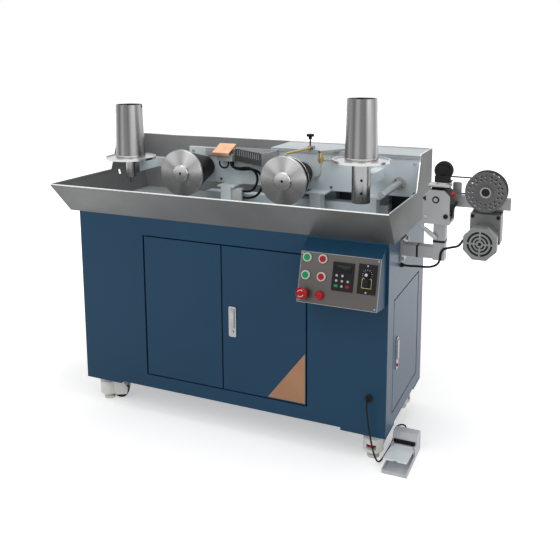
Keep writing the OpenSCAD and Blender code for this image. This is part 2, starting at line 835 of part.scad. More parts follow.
// Route of the hoses, from the hose block to the fitting
hose_start_z = hose_block[0].z - seat;
hose_end = fitting_x + fitting_size.x + seat;
hose_end_zs = [fitting_z + 41, fitting_z + 15];
hose_routes = [
    [[-112, 303, hose_start_z], [-112, 303, 974], [-102, 302, 962], [-76, 298, 960], [-38, 293, 965],
     [-6, 290, 956], [10, 288, 930], [4, 289, 900], [-16, 295, 876], [hose_end + 22, 300, hose_end_zs[0] + 1],
     [hose_end, 300, hose_end_zs[0]]],
    [[-114, 319, hose_start_z], [-114, 319, 970], [-102, 318, 955], [-66, 314, 953], [-24, 310, 957],
     [8, 306, 947], [26, 303, 920], [20, 302, 882], [-4, 300, 852], [hose_end + 22, 300, hose_end_zs[1] + 1],
     [hose_end, 300, hose_end_zs[1]]]];
thin_routes = [
    [[-166, 304, hose_start_z], [-166, 304, 972], [-159, 305, 960], [-147, 306, 956], [-135, 307, 960],
     [-128, 308, 972], [-128, 308, hose_start_z]],
    [[valve_xy.x, valve_xy.y, valve_z[0] - seat], [valve_xy.x, valve_xy.y, 990], [280, 278, 968],
     [266, 292, 948], [248, 312, 937], [nipple.x, nipple.y - 10, nipple.z], nipple - [0, seat, 0]]];

module coolant_hoses() {
    color(hose_black) at_origin() {
        for (route = hose_routes) tube(smooth(route, 3), hose_d);
        for (route = thin_routes) tube(smooth(route, 3), thin_hose_d);
    }
}

// The brass nozzle, valve and nipples
nozzle_base = [213, plate_y - lid_over, lid_z + 7];
nozzle_tip = [176, disc_y + 44, lid_z + 2];
module coolant_fittings() {
    spigot_l = 10;
    color(brass) at_origin() {
        along_y([nozzle_base.x, nozzle_base.y - spigot_l, nozzle_base.z])
            cylinder(d = 13, h = spigot_l, $fn = 6);
        bar(nozzle_base - [0, spigot_l - 1, 0], nozzle_tip, 9);
        translate([valve_xy.x, valve_xy.y, valve_z[0]]) {
            cylinder(d = 15, h = valve_z[1] - valve_z[0]);
            translate([0, 0, 6]) cylinder(d = 26, h = 14, $fn = 6);
            translate([0, 0, 24]) cylinder(d = 20, h = 6);
        }
        along_y(feed_boss) cylinder(d = 18, h = plate_y - feed_boss.y);
        bar([valve_xy.x + 6, valve_xy.y + 6, valve_z[0] + 13], feed_boss + [0, 1, 0], 12);
        along_y(nipple) cylinder(d = 12, h = plate_y - nipple.y);
        block([fitting_x, post_y - fitting_size.y / 2, fitting_z],
              [fitting_x + fitting_size.x, post_y + fitting_size.y / 2, fitting_z + fitting_size.z]);
    }
}

// The flat bar that carries the valve, and the block that carries the nozzle and the knob
nozzle_block = [24, 24, 14];
module valve_arm() {
    arm_from = [350, plate_y + 30];
    arm_w = 16;
    arm_t = 8;
    reach = norm(arm_from - valve_xy) + arm_w / 2;
    turn = atan2(valve_xy.y - arm_from.y, valve_xy.x - arm_from.x);
    color(bright_steel) at_origin() {
        translate([arm_from.x, arm_from.y, lid_z]) rotate([0, 0, turn])
            translate([0, -arm_w / 2, 0]) cube([reach, arm_w, arm_t]);
        block([nozzle_base.x - nozzle_block.x / 2, nozzle_base.y, lid_z],
              [nozzle_base.x + nozzle_block.x / 2, nozzle_base.y + nozzle_block.y, lid_z + nozzle_block.z]);
    }
}

// A lobed hand knob on a thin stem
module clamp_knob() {
    stem_h = 26;
    knob_h = 20;
    color(hose_black) at_origin()
        translate([nozzle_base.x - 4, nozzle_base.y + nozzle_block.y / 2, lid_z + nozzle_block.z]) {
            cylinder(d = 6, h = stem_h);
            translate([0, 0, stem_h]) cylinder(d = 14, h = knob_h);
            translate([0, 0, stem_h + knob_h / 2]) linear_extrude(knob_h / 2) {
                circle(d = 22);
                for (a = [0:60:300]) rotate(a) translate([11, 0]) circle(d = 9);
            }
        }
}

module guide_spindle() {
    spindle_in = 76;
    flange_d = 48;
    flange_t = 10;
    rod_d = 24;
    rod_l = 235;
    bolt_ring = 36;
    color(bright_steel) at_origin() along_y([inner_x1 - spindle_in, plate_y, capstan_z - 13])
        mirror([0, 0, 1]) difference() {
            rotate_extrude()
                polygon([[0, 0], [flange_d / 2, 0], [flange_d / 2, flange_t], [rod_d / 2, flange_t],
                         [rod_d / 2, flange_t + rod_l - 2], [rod_d / 2 - 2, flange_t + rod_l],
                         [0, flange_t + rod_l]]);
            for (a = [45:90:315]) rotate(a)
                translate([bolt_ring / 2, 0, flange_t - 4]) cylinder(d = 7, h = 5);
        }
}

// Take-up cones

// A hollow cone on a lipped flange, with its spindle; the flange's underside at z = 0
module take_up(shaft_l, stud_l) {
    shaft_r = take_shaft_d / 2;
    stud_r = 7;
    collar_r = shaft_r + 6;
    flange_r = take_flange_d / 2;
    lip_w = 4;
    floor_z = 3 * take_flange_t;
    collar_h = take_gap - seat;
    notch = [18, 14];
    color(bright_steel) difference() {
        rotate_extrude($fn = 96)
            polygon([[0, -shaft_l - stud_l], [stud_r, -shaft_l - stud_l], [stud_r, -shaft_l],
                     [shaft_r, -shaft_l], [shaft_r, -collar_h], [collar_r, -collar_h], [collar_r, 0],
                     [flange_r, 0],
                     [flange_r, take_flange_t + take_lip_h], [flange_r - lip_w, take_flange_t + take_lip_h],
                     [flange_r - lip_w, take_flange_t], [take_d / 2, take_flange_t], [take_top_d / 2, take_h],
                     [take_top_d / 2 - take_wall, take_h], [take_d / 2 - take_wall, floor_z], [0, floor_z]]);
        rotate(20) translate([0, -notch.x / 2, take_h - notch.y]) cube([take_d, notch.x, notch.y + cut]);
    }
}

right_take = [right - right_take_in, right_take_y];
left_take = [right - left_take_in, left_take_y];
right_take_z = tray_z + right_take_up;
left_take_z = tray_z + left_take_up;
right_shaft_l = take_gap + right_bearing_l - 7;
left_shaft_l = take_gap + left_hub_l;

module right_take_up_cone() {
    at_origin() translate([right_take.x, right_take.y, right_take_z]) take_up(right_shaft_l, 0);
}

module left_take_up_cone() {
    at_origin() translate([-left_take.x, left_take.y, left_take_z]) take_up(left_shaft_l, left_stud_l);
}

// Lugs on the bearings that the arms are bolted to
lug_l = 14;
arm_h = 40;
left_arm_w = 16;
right_arm_w = 40;
right_lug_y = right_take.y + right_bearing_d / 2 + lug_l;
left_lug_y = left_take.y + left_hub_d / 2 + lug_l;
right_arm_z = right_take_z - take_gap - right_bearing_l / 2 - arm_h / 2;
left_arm_z = left_take_z - take_gap - left_hub_l / 2 - arm_h / 2;

module cone_bearings() {
    color(bright_steel) at_origin() {
        translate([right_take.x, right_take.y, right_take_z - take_gap - right_bearing_l]) difference() {
            union() {
                cylinder(d = right_bearing_d, h = right_bearing_l);
                block([-right_arm_w / 2, 0, (right_bearing_l - arm_h) / 2],
                      [right_arm_w / 2, right_bearing_d / 2 + lug_l, (right_bearing_l + arm_h) / 2]);
            }
            translate([0, 0, 6]) cylinder(d = take_shaft_d + 2 * run_fit, h = right_bearing_l);
        }
        translate([-left_take.x, left_take.y, left_take_z - take_gap - left_hub_l]) difference() {
            union() {
                cylinder(d = left_hub_d, h = left_hub_l);
                block([-left_arm_w, 0, (left_hub_l - arm_h) / 2],
                      [left_arm_w, left_hub_d / 2 + lug_l, (left_hub_l + arm_h) / 2]);
            }
            translate([0, 0, -cut]) cylinder(d = take_shaft_d + 2 * run_fit, h = left_hub_l + 2 * cut);
        }
    }
}

module cone_arms() {
    beam_y = plate_y + plate_t;
    color(frame_blue) at_origin() {
        block([right_take.x - right_arm_w / 2, right_lug_y, right_arm_z],
              [right_take.x + right_arm_w / 2, plate_y, right_arm_z + arm_h]);
        block([-left_take.x - left_arm_w / 2, left_lug_y, left_arm_z],
              [-left_take.x + left_arm_w / 2, beam_y + plate_t, left_arm_z + arm_h]);
        block([-left_take.x - left_arm_w / 2, beam_y, left_arm_z],
              [plate_left + 2 * left_arm_w, beam_y + plate_t, left_arm_z + arm_h]);
    }
}

// Console

module control_box() {
    face_low = face_h * cos(face_lean);
    color(cabinet_blue) at_origin() sideways(console_left, console_w)
        polygon([[0, tray_z - console_drop], [-console_out, face_top_z],
                 [-face_out(face_h, 0), face_top_z - face_low],
                 [0, face_top_z - face_low - console_under]]);
}

// Places children on the console's face: x to the right, y up the slope, z out of the face plate
module on_face(u, v) {
    translate([console_left, -console_out, face_top_z]) rotate([90 - face_lean, 0, 0])
        translate([u, -v, face_t]) children();
}

module control_faceplate() {
    edge = 2;
    color(stainless) at_origin() on_face(edge, face_h - edge) translate([0, 0, -face_t])
        cube([console_w - 2 * edge, face_h - 2 * edge, face_t]);
}

// A ring round each push button
module button_bezels() {
    color(bright_steel) at_origin() for (u = button_columns, v = [button_rows[0], button_rows[1]])
        on_face(u, v) difference() {
            cylinder(d = bezel_d, h = bezel_h);
            translate([0, 0, -cut]) cylinder(d = button_d + 2 * seat, h = bezel_h + 2 * cut);
        }
}

module push_button(u, v) {
    on_face(u, v) cylinder(d = button_d, h = bezel_h + button_h);
}

module green_buttons() {
    color(signal_green) at_origin()
        for (v = [button_rows[0], button_rows[1]]) push_button(button_columns[0], v);
}

// The red push buttons, the mushroom head of the emergency stop and the domed lamp
module red_buttons() {
    lamp_r = bezel_d / 2;
    color(signal_red) at_origin() {
        for (v = [button_rows[0], button_rows[1]]) push_button(button_columns[1], v);
        on_face(button_columns[0], button_rows[2]) rotate_extrude()
            polygon([[0, 0], [stop_d / 2 - 6, 0], [stop_d / 2 - 6, stop_h - 17], [stop_d / 2, stop_h - 14],
                     [stop_d / 2, stop_h - 6], [stop_tip_d / 2, stop_h], [0, stop_h]]);
        on_face(button_columns[1], button_rows[2]) intersection() {
            cylinder(r = lamp_r, h = lamp_r + bezel_h);
            translate([0, 0, bezel_h - 2]) union() {
                sphere(r = lamp_r);
                translate([0, 0, -bezel_h]) cylinder(r = lamp_r, h = bezel_h);
            }
        }
    }
}

// The inverter keypad with its keys, and the speed controller with its knob and switch
module control_modules() {
    keypad_at = [154, 71];
    keypad_t = 6;
    key_d = 9;
    key_pitch = [20, 17];
    speed_at = [237, 69];
    speed_t = 4;
    color(hose_black) at_origin() {
        on_face(keypad_at.x, keypad_at.y) difference() {
            union() {
                translate([-keypad_size.x / 2, -keypad_size.y / 2, 0])
                    cube([keypad_size.x, keypad_size.y, keypad_t]);
                for (i = [-1:1], j = [0:2]) if (i < 1 || j < 2)
                    translate([i * key_pitch.x, -keypad_size.y / 2 + 16 + j * key_pitch.y, keypad_t])
                        cylinder(d = key_d, h = 1.5);
            }
            // The display window
            translate([-keypad_size.x / 2 + 5, keypad_size.y / 2 - 35, keypad_t - 1.5])
                cube([keypad_size.x - 10, 28, 2]);
        }
        on_face(speed_at.x, speed_at.y) {
            translate([-speed_size.x / 2, -speed_size.y / 2, 0]) cube([speed_size.x, speed_size.y, speed_t]);
            translate([0, 14, speed_t]) cylinder(d = 20, h = 12);
            translate([-8, -24, speed_t]) cube([16, 24, 5]);
        }
    }
}

module cord_gland() {
    color(hose_black) at_origin() along_y([gland.x, 0, gland.y]) mirror([0, 0, 1]) difference() {
        rotate_extrude() polygon([[0, 0], [13, 0], [13, 6], [10, 8], [7, 16], [0, 16]]);
        translate([0, 0, 16 - cut]) cylinder(d = cord_d, h = 2 * cut);
    }
}

// Castors

castor_xs = [-right + castor_in, right - castor_in];
castor_ys = [castor_in, cab_d - castor_in];
// Place and swivel of each castor: front left, front right, rear left, rear right
castors = [
    [castor_xs[0], castor_ys[0], 20],
    [castor_xs[1], castor_ys[0], 90],
    [castor_xs[0], castor_ys[1], 0],
    [castor_xs[1], castor_ys[1], 180]];
wheel_z = wheel_lift + wheel_d / 2;
thumb_z = [42, 54];
module each_castor() {
    for (c = castors) translate([c.x, c.y, 0]) rotate([0, 0, c.z]) children();
}

// A castor's housing: two cheeks and a hood over the wheel, with a window for the thumbwheel
module castor_housings() {
    plate_half = 32;
    cheek = 8;
    wheel_room = 5;
    half = wheel_w / 2 + wheel_room + cheek;
    axle_d = 8;
    thumb_room = 4;
    top = 90;
    color(castor_cream) at_origin() each_castor() {
        difference() {
            union() {
                upright(-half, 2 * half)
                    polygon([[0, 36], [0, top], [34, top], [66, 76], [wheel_trail + 32, 48],
                             [wheel_trail + 28, 24], [wheel_trail - 12, 20], [16, 30]]);
                rotate_extrude()
                    polygon([[0, 24], [housing_d / 2 - 3, 24], [housing_d / 2, 27], [housing_d / 2, top - 12],
                             [housing_d / 2 - 12, top], [0, top]]);
            }
            // Room for the wheel, the thumbwheel and the stud
            along_y([wheel_trail, wheel_w / -2 - wheel_room, wheel_z])
                cylinder(r = wheel_d / 2 + wheel_room, h = wheel_w + 2 * wheel_room);
            block([wheel_trail, wheel_w / -2 - wheel_room, 0],
                  [2 * wheel_trail, wheel_w / 2 + wheel_room, wheel_z]);
            translate([0, 0, thumb_z[0] - thumb_room])
                cylinder(d = pad_d - 4, h = thumb_z[1] - thumb_z[0] + 2 * thumb_room);
            block([-housing_d, -18, thumb_z[0] - thumb_room], [0, 18, thumb_z[1] + thumb_room]);
            cylinder(d = stud_d + 2, h = thumb_z[1] + 16);
        }
        along_y([wheel_trail, -half, wheel_z]) cylinder(d = axle_d, h = 2 * half);
        translate([0, 0, 90 - cut]) cylinder(d = 44, h = castor_h - 90 - 5 + cut);
        block([-plate_half, -plate_half, castor_h - 5], [plate_half, plate_half, castor_h]);
    }
}

// A levelling foot: the pad, its stud and the thumbwheel that turns it
module castor_feet() {
    thumb_d = 30;
    color(signal_red) at_origin() each_castor() {
        rotate_extrude()
            polygon([[0, 0], [pad_d / 2, 0], [pad_d / 2, pad_t - 3], [pad_d / 2 - 4, pad_t],
                     [stud_d / 2, pad_t], [stud_d / 2, thumb_z[0]], [thumb_d / 2, thumb_z[0]],
                     [thumb_d / 2, thumb_z[1]],
                     [stud_d / 2, thumb_z[1]], [stud_d / 2, thumb_z[1] + 16], [0, thumb_z[1] + 16]]);
    }
}

module castor_wheel(i) {
    r = wheel_d / 2;
    half = wheel_w / 2;
    bore_r = 4 + run_fit;
    color(hose_black) at_origin() translate([castors[i].x, castors[i].y, 0]) rotate([0, 0, castors[i].z])
        along_y([wheel_trail, 0, wheel_z]) rotate_extrude()
            polygon([[bore_r, -half], [12, -half], [12, 2 - half], [r - 8, 2 - half], [r - 8, -half],
                     [r - 3, -half], [r, 3 - half], [r, half - 3], [r - 3, half], [r - 8, half],
                     [r - 8, half - 2], [12, half - 2], [12, half], [bore_r, half]]);
}

module front_left_wheel() { castor_wheel(0); }
module front_right_wheel() { castor_wheel(1); }
module rear_left_wheel() { castor_wheel(2); }
module rear_right_wheel() { castor_wheel(3); }

// Winder

post_x = right + post_out;
spool_x = right + spool_out;
// The traverse frame's ends: its two plates stand clear of the carriage's travel
carriage_l = 30;
plate_room = 7;
traverse_half = carriage_l / 2 + traverse_travel + plate_room;
traverse_y = [winder_y - traverse_half - traverse_plate_t, winder_y + traverse_half + traverse_plate_t];
traverse_x = [post_x - 53, post_x - 53 + traverse_w];
traverse_shaft = [post_x - 9, traverse_z + 84];
guide_rod_zs = [traverse_z + 40];
traverse_shaft_d = 14;

// The wall plate, the arm and the post, welded from square tube
module winder_arm() {
    half = tube_w / 2;
    plate_half = 40;
    color(winder_grey) at_origin() {
        block([right, winder_y - plate_half, arm_z - plate_half],
              [right + 6, winder_y + plate_half, arm_z + plate_half]);
        block([right + 6, winder_y - half, arm_z - half], [post_x - half, winder_y + half, arm_z + half]);
        block([post_x - half, winder_y - half, arm_z - half - 4],
              [post_x + half, winder_y + half, traverse_z]);
    }
}

module traverse_plate_outline() {
    corner = 20;
    top = traverse_z + traverse_h;
    polygon([[traverse_x[0], traverse_z], [traverse_x[1], traverse_z], [traverse_x[1], top - corner],
             [traverse_x[1] - corner, top], [traverse_x[0] + corner, top], [traverse_x[0], top - corner]]);
}

// Two chamfered end plates on a foot, with the ring drive's shaft and a guide rod between them
module traverse_frame() {
    foot_t = 10;
    length = traverse_y[1] - traverse_y[0];
    color(winder_grey) at_origin() {
        upright(traverse_y[0], traverse_plate_t) traverse_plate_outline();
        upright(traverse_y[1] - traverse_plate_t, traverse_plate_t) traverse_plate_outline();
        block([traverse_x[0], traverse_y[0], traverse_z],
              [traverse_x[1], traverse_y[1], traverse_z + foot_t]);
        along_y([traverse_shaft.x, traverse_y[0] - 3, traverse_shaft.y])
            cylinder(d = traverse_shaft_d, h = length + 6);
        for (z = guide_rod_zs) along_y([traverse_shaft.x, traverse_y[0], z]) cylinder(d = 10, h = length);
        // The belt pulley on the rear plate
        along_y([traverse_shaft.x, traverse_y[1], spool_z]) {
            cylinder(d = 16, h = belt_plane - traverse_y[1]);
            translate([0, 0, belt_plane - traverse_y[1] - pulley_w / 2]) pulley();
        }
    }
}

// A pulley with a round groove, its face at z = 0
pulley_w = 12;
module pulley() {
    groove_r = belt_d / 2 + seat;
    rim_r = pulley_d / 2 + belt_d / 2;
    rotate_extrude() difference() {
        square([rim_r, pulley_w]);
        translate([pulley_d / 2 + belt_d / 2, pulley_w / 2]) circle(r = groove_r);
    }
}

// The carriage on the shaft and the rod, with the roller's black fork on top
roller_x = post_x + 6;
roller_z = traverse_z + traverse_h + 62;
module traverse_carriage() {
    top_z = traverse_z + traverse_h + 6;
    cap_t = 9;
    neck_z = top_z + cap_t + 8;
    fork_half = roller_w / 2 + 6;
    cheek_t = 4;
    wide = 27;
    color(hose_black) at_origin() {
        difference() {
            union() {
                block([traverse_shaft.x - 22, winder_y - carriage_l / 2, guide_rod_zs[0] - 14],
                      [traverse_shaft.x + 22, winder_y + carriage_l / 2, top_z]);
                block([traverse_shaft.x - 32, winder_y - carriage_l / 2 - 8, top_z],
                      [traverse_shaft.x + 40, winder_y + carriage_l / 2 + 8, top_z + cap_t]);
            }
            along_y([traverse_shaft.x, winder_y - carriage_l, traverse_shaft.y])
                cylinder(d = traverse_shaft_d + 2 * run_fit, h = 2 * carriage_l);
            for (z = guide_rod_zs) along_y([traverse_shaft.x, winder_y - carriage_l, z])
                cylinder(d = 10 + 2 * run_fit, h = 2 * carriage_l);
        }
        translate([roller_x, winder_y, top_z + cap_t - cut]) cylinder(d = 44, h = 8 + cut);
        block([roller_x - wide, winder_y - fork_half - cheek_t, neck_z],
              [roller_x + wide, winder_y + fork_half + cheek_t, neck_z + 5]);
        block([roller_x - wide, winder_y - fork_half - cheek_t, neck_z],
              [roller_x + wide, winder_y - fork_half, neck_z + 22]);
        upright(winder_y + fork_half, cheek_t) {
            translate([roller_x - wide / 2, neck_z]) square([wide, roller_z - neck_z]);
            translate([roller_x, roller_z]) circle(d = wide);
        }
        along_y([roller_x, winder_y - roller_w / 2 - 3, roller_z]) cylinder(d = 8, h = roller_w + 9 + cut);
    }
}

module guide_roller() {
    r = roller_d / 2;
    half = roller_w / 2;
    color(hose_black) at_origin() along_y([roller_x, winder_y, roller_z]) rotate_extrude()
        polygon([[4 + run_fit, -half], [10, -half], [10, 2 - half], [r - 12, 2 - half], [r - 8, -half],
                 [r, -half], [r, 3 - half], [r - 6, -1], [r - 6, 1], [r, half - 3], [r, half],
                 [4 + run_fit, half]]);
}

// Where the spool's bearing plate stands, and the planes of the two belts behind it
spool_y = [winder_y - spool_w / 2, winder_y + spool_w / 2];
crossbar_y = spool_y[1] + 6;
mount_y = crossbar_y + crossbar_t;
mount_t = 8;
belt_plane = mount_y + mount_t + 5 + pulley_w / 2;
motor_belt_plane = belt_plane + pulley_w + 1;
gear_drop = 128;
motor_drop = 25;
gear_z = spool_z - gear_drop;
motor_z = gear_z - motor_drop;

module winder_crossbar() {
    bearing_d = 46;
    bar_z = spool_z - 48 - crossbar_h / 2;
    half = gear_w / 2;
    color(winder_grey) at_origin() difference() {
        union() {
            block([traverse_x[1], crossbar_y, bar_z], [x_max, mount_y, bar_z + crossbar_h]);
            block([spool_x - half, mount_y, gear_z - half],
                  [spool_x + half, mount_y + mount_t, spool_z + 36]);
            along_y([spool_x, crossbar_y, spool_z]) cylinder(d = bearing_d, h = crossbar_t);
        }
        along_y([spool_x, crossbar_y - cut, spool_z])
            cylinder(d = spool_shaft_d + 2 * run_fit, h = crossbar_t + mount_t + 2 * cut);
        // Room for the motor's output shaft
        along_y([spool_x, mount_y - cut, gear_z]) cylinder(d = 26, h = mount_t + 2 * cut);
    }
}

// A flanged spool with rows of round holes, turned on its shaft with two belt pulleys
spool_hole_rings = [[54, 20, 9], [42, 16, 8]];
module winder_spool() {
    r = spool_d / 2;
    hub_ring = [23, 18];
    shaft_end = motor_belt_plane + pulley_w / 2 + 4 - spool_y[0];
    color(bright_steel) at_origin() along_y([spool_x, spool_y[0], spool_z]) {
        difference() {
            rotate_extrude($fn = 96)
                polygon([[0, 4], [hub_ring[1], 4], [hub_ring[1], -4], [hub_ring[0], -4], [hub_ring[0], 0],
                         [r, 0], [r, spool_flange_t], [barrel_d / 2, spool_flange_t],
                         [barrel_d / 2, spool_w - spool_flange_t], [r, spool_w - spool_flange_t],
                         [r, spool_w], [spool_shaft_d / 2, spool_w],
                         [spool_shaft_d / 2, shaft_end], [0, shaft_end]]);
            for (ring = spool_hole_rings, i = [0:ring.y - 1]) rotate(360 * i / ring.y)
                translate([ring.x, 0, -cut]) cylinder(d = ring.z, h = spool_w + 2 * cut, $fn = 16);
        }
        for (plane = [belt_plane, motor_belt_plane])
            translate([0, 0, plane - pulley_w / 2 - spool_y[0]]) pulley();
    }
}

// One gearmotor: an off-centre gear head, a ribbed round body and a fan cover with ring slots
module winder_motor() {
    half = gear_w / 2;
    gear_y = mount_y - gear_l;
    body_y = gear_y - motor_l;
    fan_y = body_y - fan_l;
    ribs = 7;
    rib_t = motor_l / ribs / 2;
    slot_rings = [[12, 17], [22, 28], [34, 41]];
    spoke_w = 6;
    slot_d = 8;
    shaft_d = 12;
    color(winder_grey) at_origin() {
        block([spool_x - half, gear_y, gear_z - half], [spool_x + half, mount_y, gear_z + half]);
        along_y([spool_x, body_y, motor_z]) {
            cylinder(d = motor_d - 6, h = motor_l);
            for (i = [0:ribs - 1]) translate([0, 0, (2 * i + 0.5) * rib_t]) cylinder(d = motor_d, h = rib_t);
        }
        along_y([spool_x, fan_y, motor_z]) difference() {
            rotate(22.5) cylinder(d = fan_w / cos(22.5), h = fan_l, $fn = 8);
            for (ring = slot_rings) difference() {
                translate([0, 0, -cut]) cylinder(r = ring.y, h = slot_d + cut);
                translate([0, 0, -2 * cut]) cylinder(r = ring.x, h = slot_d + 4 * cut);
                for (a = [0, 90]) rotate(a)
                    translate([-fan_w, -spoke_w / 2, -2 * cut]) cube([2 * fan_w, spoke_w, slot_d + 4 * cut]);
            }
        }
        // The output shaft with its pulley behind the bearing plate
        along_y([spool_x, mount_y, gear_z]) {
            cylinder(d = shaft_d, h = motor_belt_plane + pulley_w / 2 - mount_y);
            translate([0, 0, motor_belt_plane - pulley_w / 2 - mount_y]) pulley();
        }
    }
}

// A belt loop round two equal pulleys, in a plane across y
module belt_loop(plane, a, b) {
    r = pulley_d / 2 + belt_d / 2;
    run = b - a;
    length = norm(run);
    turn = atan2(run.y, run.x);
    translate([a.x, plane, a.y]) rotate([90, 0, 0]) rotate(turn) {
        for (s = [-1, 1]) translate([0, s * r, 0]) rotate([0, 90, 0]) cylinder(d = belt_d, h = length);
        rotate(90) rotate_extrude(angle = 180) translate([r, 0]) circle(d = belt_d);
        translate([length, 0, 0]) rotate(-90)
            rotate_extrude(angle = 180) translate([r, 0]) circle(d = belt_d);
    }
}

module drive_belts() {
    color(hose_black) at_origin() {
        belt_loop(belt_plane, [traverse_shaft.x, spool_z], [spool_x, spool_z]);
        belt_loop(motor_belt_plane, [spool_x, gear_z], [spool_x, spool_z]);
    }
}

// Route of the motor's cable, from the motor past the post into the cabinet's side
cable_d = 8;
cable_z = arm_z - 54;
cable_y = winder_y - tube_w / 2 - cable_d / 2 - seat;
motor_side = [spool_x - motor_d / 2 - seat, mount_y - gear_l - motor_l / 2, motor_z - 5];
cable_route = [
    motor_side, motor_side - [16, 0, 4], [post_x + 70, cable_y - 14, 778], [post_x + 42, cable_y - 4, 766],
    [post_x + 18, cable_y, 756], [post_x + 8, cable_y, 738], [post_x + 6, cable_y, 716],
    [post_x - 6, cable_y, 698], [post_x - 32, cable_y, 688], [post_x - 70, cable_y, 686],
    [right + 28, cable_y, cable_z], [right + 12, cable_y, cable_z]];

module motor_cable() {
    gland_l = 12;
    color(hose_black) at_origin() {
        tube(smooth(cable_route, 2), cable_d);
        translate([right, cable_y, cable_z]) rotate([0, 90, 0]) cylinder(d = 16, h = gland_l);
    }
}

// Foot pedal

pedal_x = right - 3;
pedal_y = -35;
pivot = [pedal_y + 128, 34];
pivot_d = 8;
lug_t = 7;

// The cast base: a pan with raised edges, a pair of pivot lugs and the closed switch housing at the back
module pedal_base() {
    sole_t = 6;
    edge = [4, 16];
    house_y = pivot.x + 14;
    back = pedal_y + pedal_l;
    color(pedal_grey) at_origin() {
        block([pedal_x, pedal_y, 0], [pedal_x + pedal_w, back, sole_t]);
        for (x = [pedal_x, pedal_x + pedal_w - edge.x])
            block([x, pedal_y, sole_t], [x + edge.x, pivot.x, edge.y]);
        block([pedal_x, pedal_y, sole_t], [pedal_x + pedal_w, pedal_y + edge.x, edge.y - edge.x]);
        sideways(pedal_x, pedal_w)
            polygon([[house_y, sole_t], [house_y, pedal_h - 22], [house_y + 12, pedal_h],
                     [back - 8, pedal_h - 4], [back, pedal_h - 16], [back, sole_t]]);
        for (x = [pedal_x, pedal_x + pedal_w - lug_t])
            block([x, pivot.x - 10, sole_t], [x + lug_t, house_y, pivot.y + 10]);
        translate([pedal_x, pivot.x, pivot.y]) rotate([0, 90, 0]) cylinder(d = pivot_d, h = pedal_w);
    }
}

// The treadle: a flat plate that turns on the pivot pin, wide over the pan's edges and notched at its front
module pedal_treadle() {
    side_gap = lug_t + 2;
    over = side_gap - 3;
    front = pedal_y + 6 - pivot.x;
    wide_end = -18;
    rise = 12;
    plate_t = 5;
    plate_z = 2;
    notch_d = 16;
    width = pedal_w - 2 * side_gap;
    tilt = atan2(rise, -front);
    color(pedal_grey) at_origin() translate([pedal_x + side_gap, pivot.x, pivot.y]) rotate([-tilt, 0, 0])
        difference() {
            union() {
                block([-over, front, plate_z], [width + over, wide_end, plate_z + plate_t]);
                block([0, wide_end, plate_z], [width, 0, plate_z + plate_t]);
                rotate([0, 90, 0]) cylinder(d = 16, h = width);
            }
            translate([-cut, 0, 0]) rotate([0, 90, 0])
                cylinder(d = pivot_d + 2 * run_fit, h = width + 2 * cut);
            translate([width / 2, front, plate_z - cut]) cylinder(d = notch_d, h = plate_t + 2 * cut);
        }
}

// Route of the pedal's cord: from the gland down the cabinet's front, round on the floor and into the pedal
gland = [right - 61, cab_z + 130];
cord_route = [
    [569, -15, 245], [569, -24, 243], [570, -31, 234], [572, -33, 210], [576, -31, 170], [582, -27, 125],
    [589, -21, 80], [596, -12, 42], [602, 3, 16], [606, 26, 6], [609, 60, 5], [611, 110, 5], [611, 160, 5],
    [607, 205, 5], [600, 245, 5], [598, 270, 5], [604, 290, 5], [616, 298, 5], [628, 292, 5], [635, 274, 5],
    [642, 248, 6], [652, 222, 10], [662, 200, 18], [669, 183, 24], [671, 174, 26], [671, 165, 26]];

module pedal_cord() {
    color(hose_black) at_origin() tube(smooth(cord_route, 2), cord_d);
}

left_wall();
back_wall();
front_panels();
front_rails();
side_stiles();
side_rails();
cabinet_floor();
left_door();
right_door();
side_door();
door_latch();
side_latch();
tray_floor();
tray_front_wall();
tray_end_walls();
tray_back_wall();
capstan_plate();
drive_housing();
support_frame();
left_capstan_disc();
left_capstan_cone();
right_capstan_disc();
right_capstan_cone();
die_box();
die_comb();
copper_shield();
coolant_hoses();
coolant_fittings();
valve_arm();
clamp_knob();
guide_spindle();
left_take_up_cone();
right_take_up_cone();
cone_bearings();
cone_arms();
control_box();
control_faceplate();
button_bezels();
green_buttons();
red_buttons();
control_modules();
castor_housings();
castor_feet();
front_left_wheel();
front_right_wheel();
rear_left_wheel();
rear_right_wheel();
winder_arm();
winder_crossbar();
winder_motor();
winder_spool();
traverse_frame();
traverse_carriage();
guide_roller();
drive_belts();
motor_cable();
cord_gland();
pedal_cord();
pedal_base();
pedal_treadle();
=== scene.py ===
"""Dresses the wire drawing machine: finishes, cords, fasteners, trims and a plain studio stage."""

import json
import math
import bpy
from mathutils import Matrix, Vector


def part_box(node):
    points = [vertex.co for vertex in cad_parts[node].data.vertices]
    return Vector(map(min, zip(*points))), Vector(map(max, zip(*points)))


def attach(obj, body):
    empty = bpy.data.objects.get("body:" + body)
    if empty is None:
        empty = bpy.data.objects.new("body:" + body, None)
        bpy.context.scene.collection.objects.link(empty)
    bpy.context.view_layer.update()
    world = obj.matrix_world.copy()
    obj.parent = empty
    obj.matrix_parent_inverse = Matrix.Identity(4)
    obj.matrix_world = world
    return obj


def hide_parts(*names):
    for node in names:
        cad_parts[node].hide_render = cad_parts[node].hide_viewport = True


bl_info = {
    "name": "Wire Drawing Machine",
    "version": (1, 0, 0),
    "blender": (4, 5, 0),
    "location": "3D View > Sidebar > Wire Machine",
    "description": "Finishes, cords, fasteners and trims for a wire drawing machine",
    "category": "Object",
}

import bmesh
import bpy
from bpy.props import FloatProperty, FloatVectorProperty, IntProperty, PointerProperty
from mathutils import Matrix, Vector

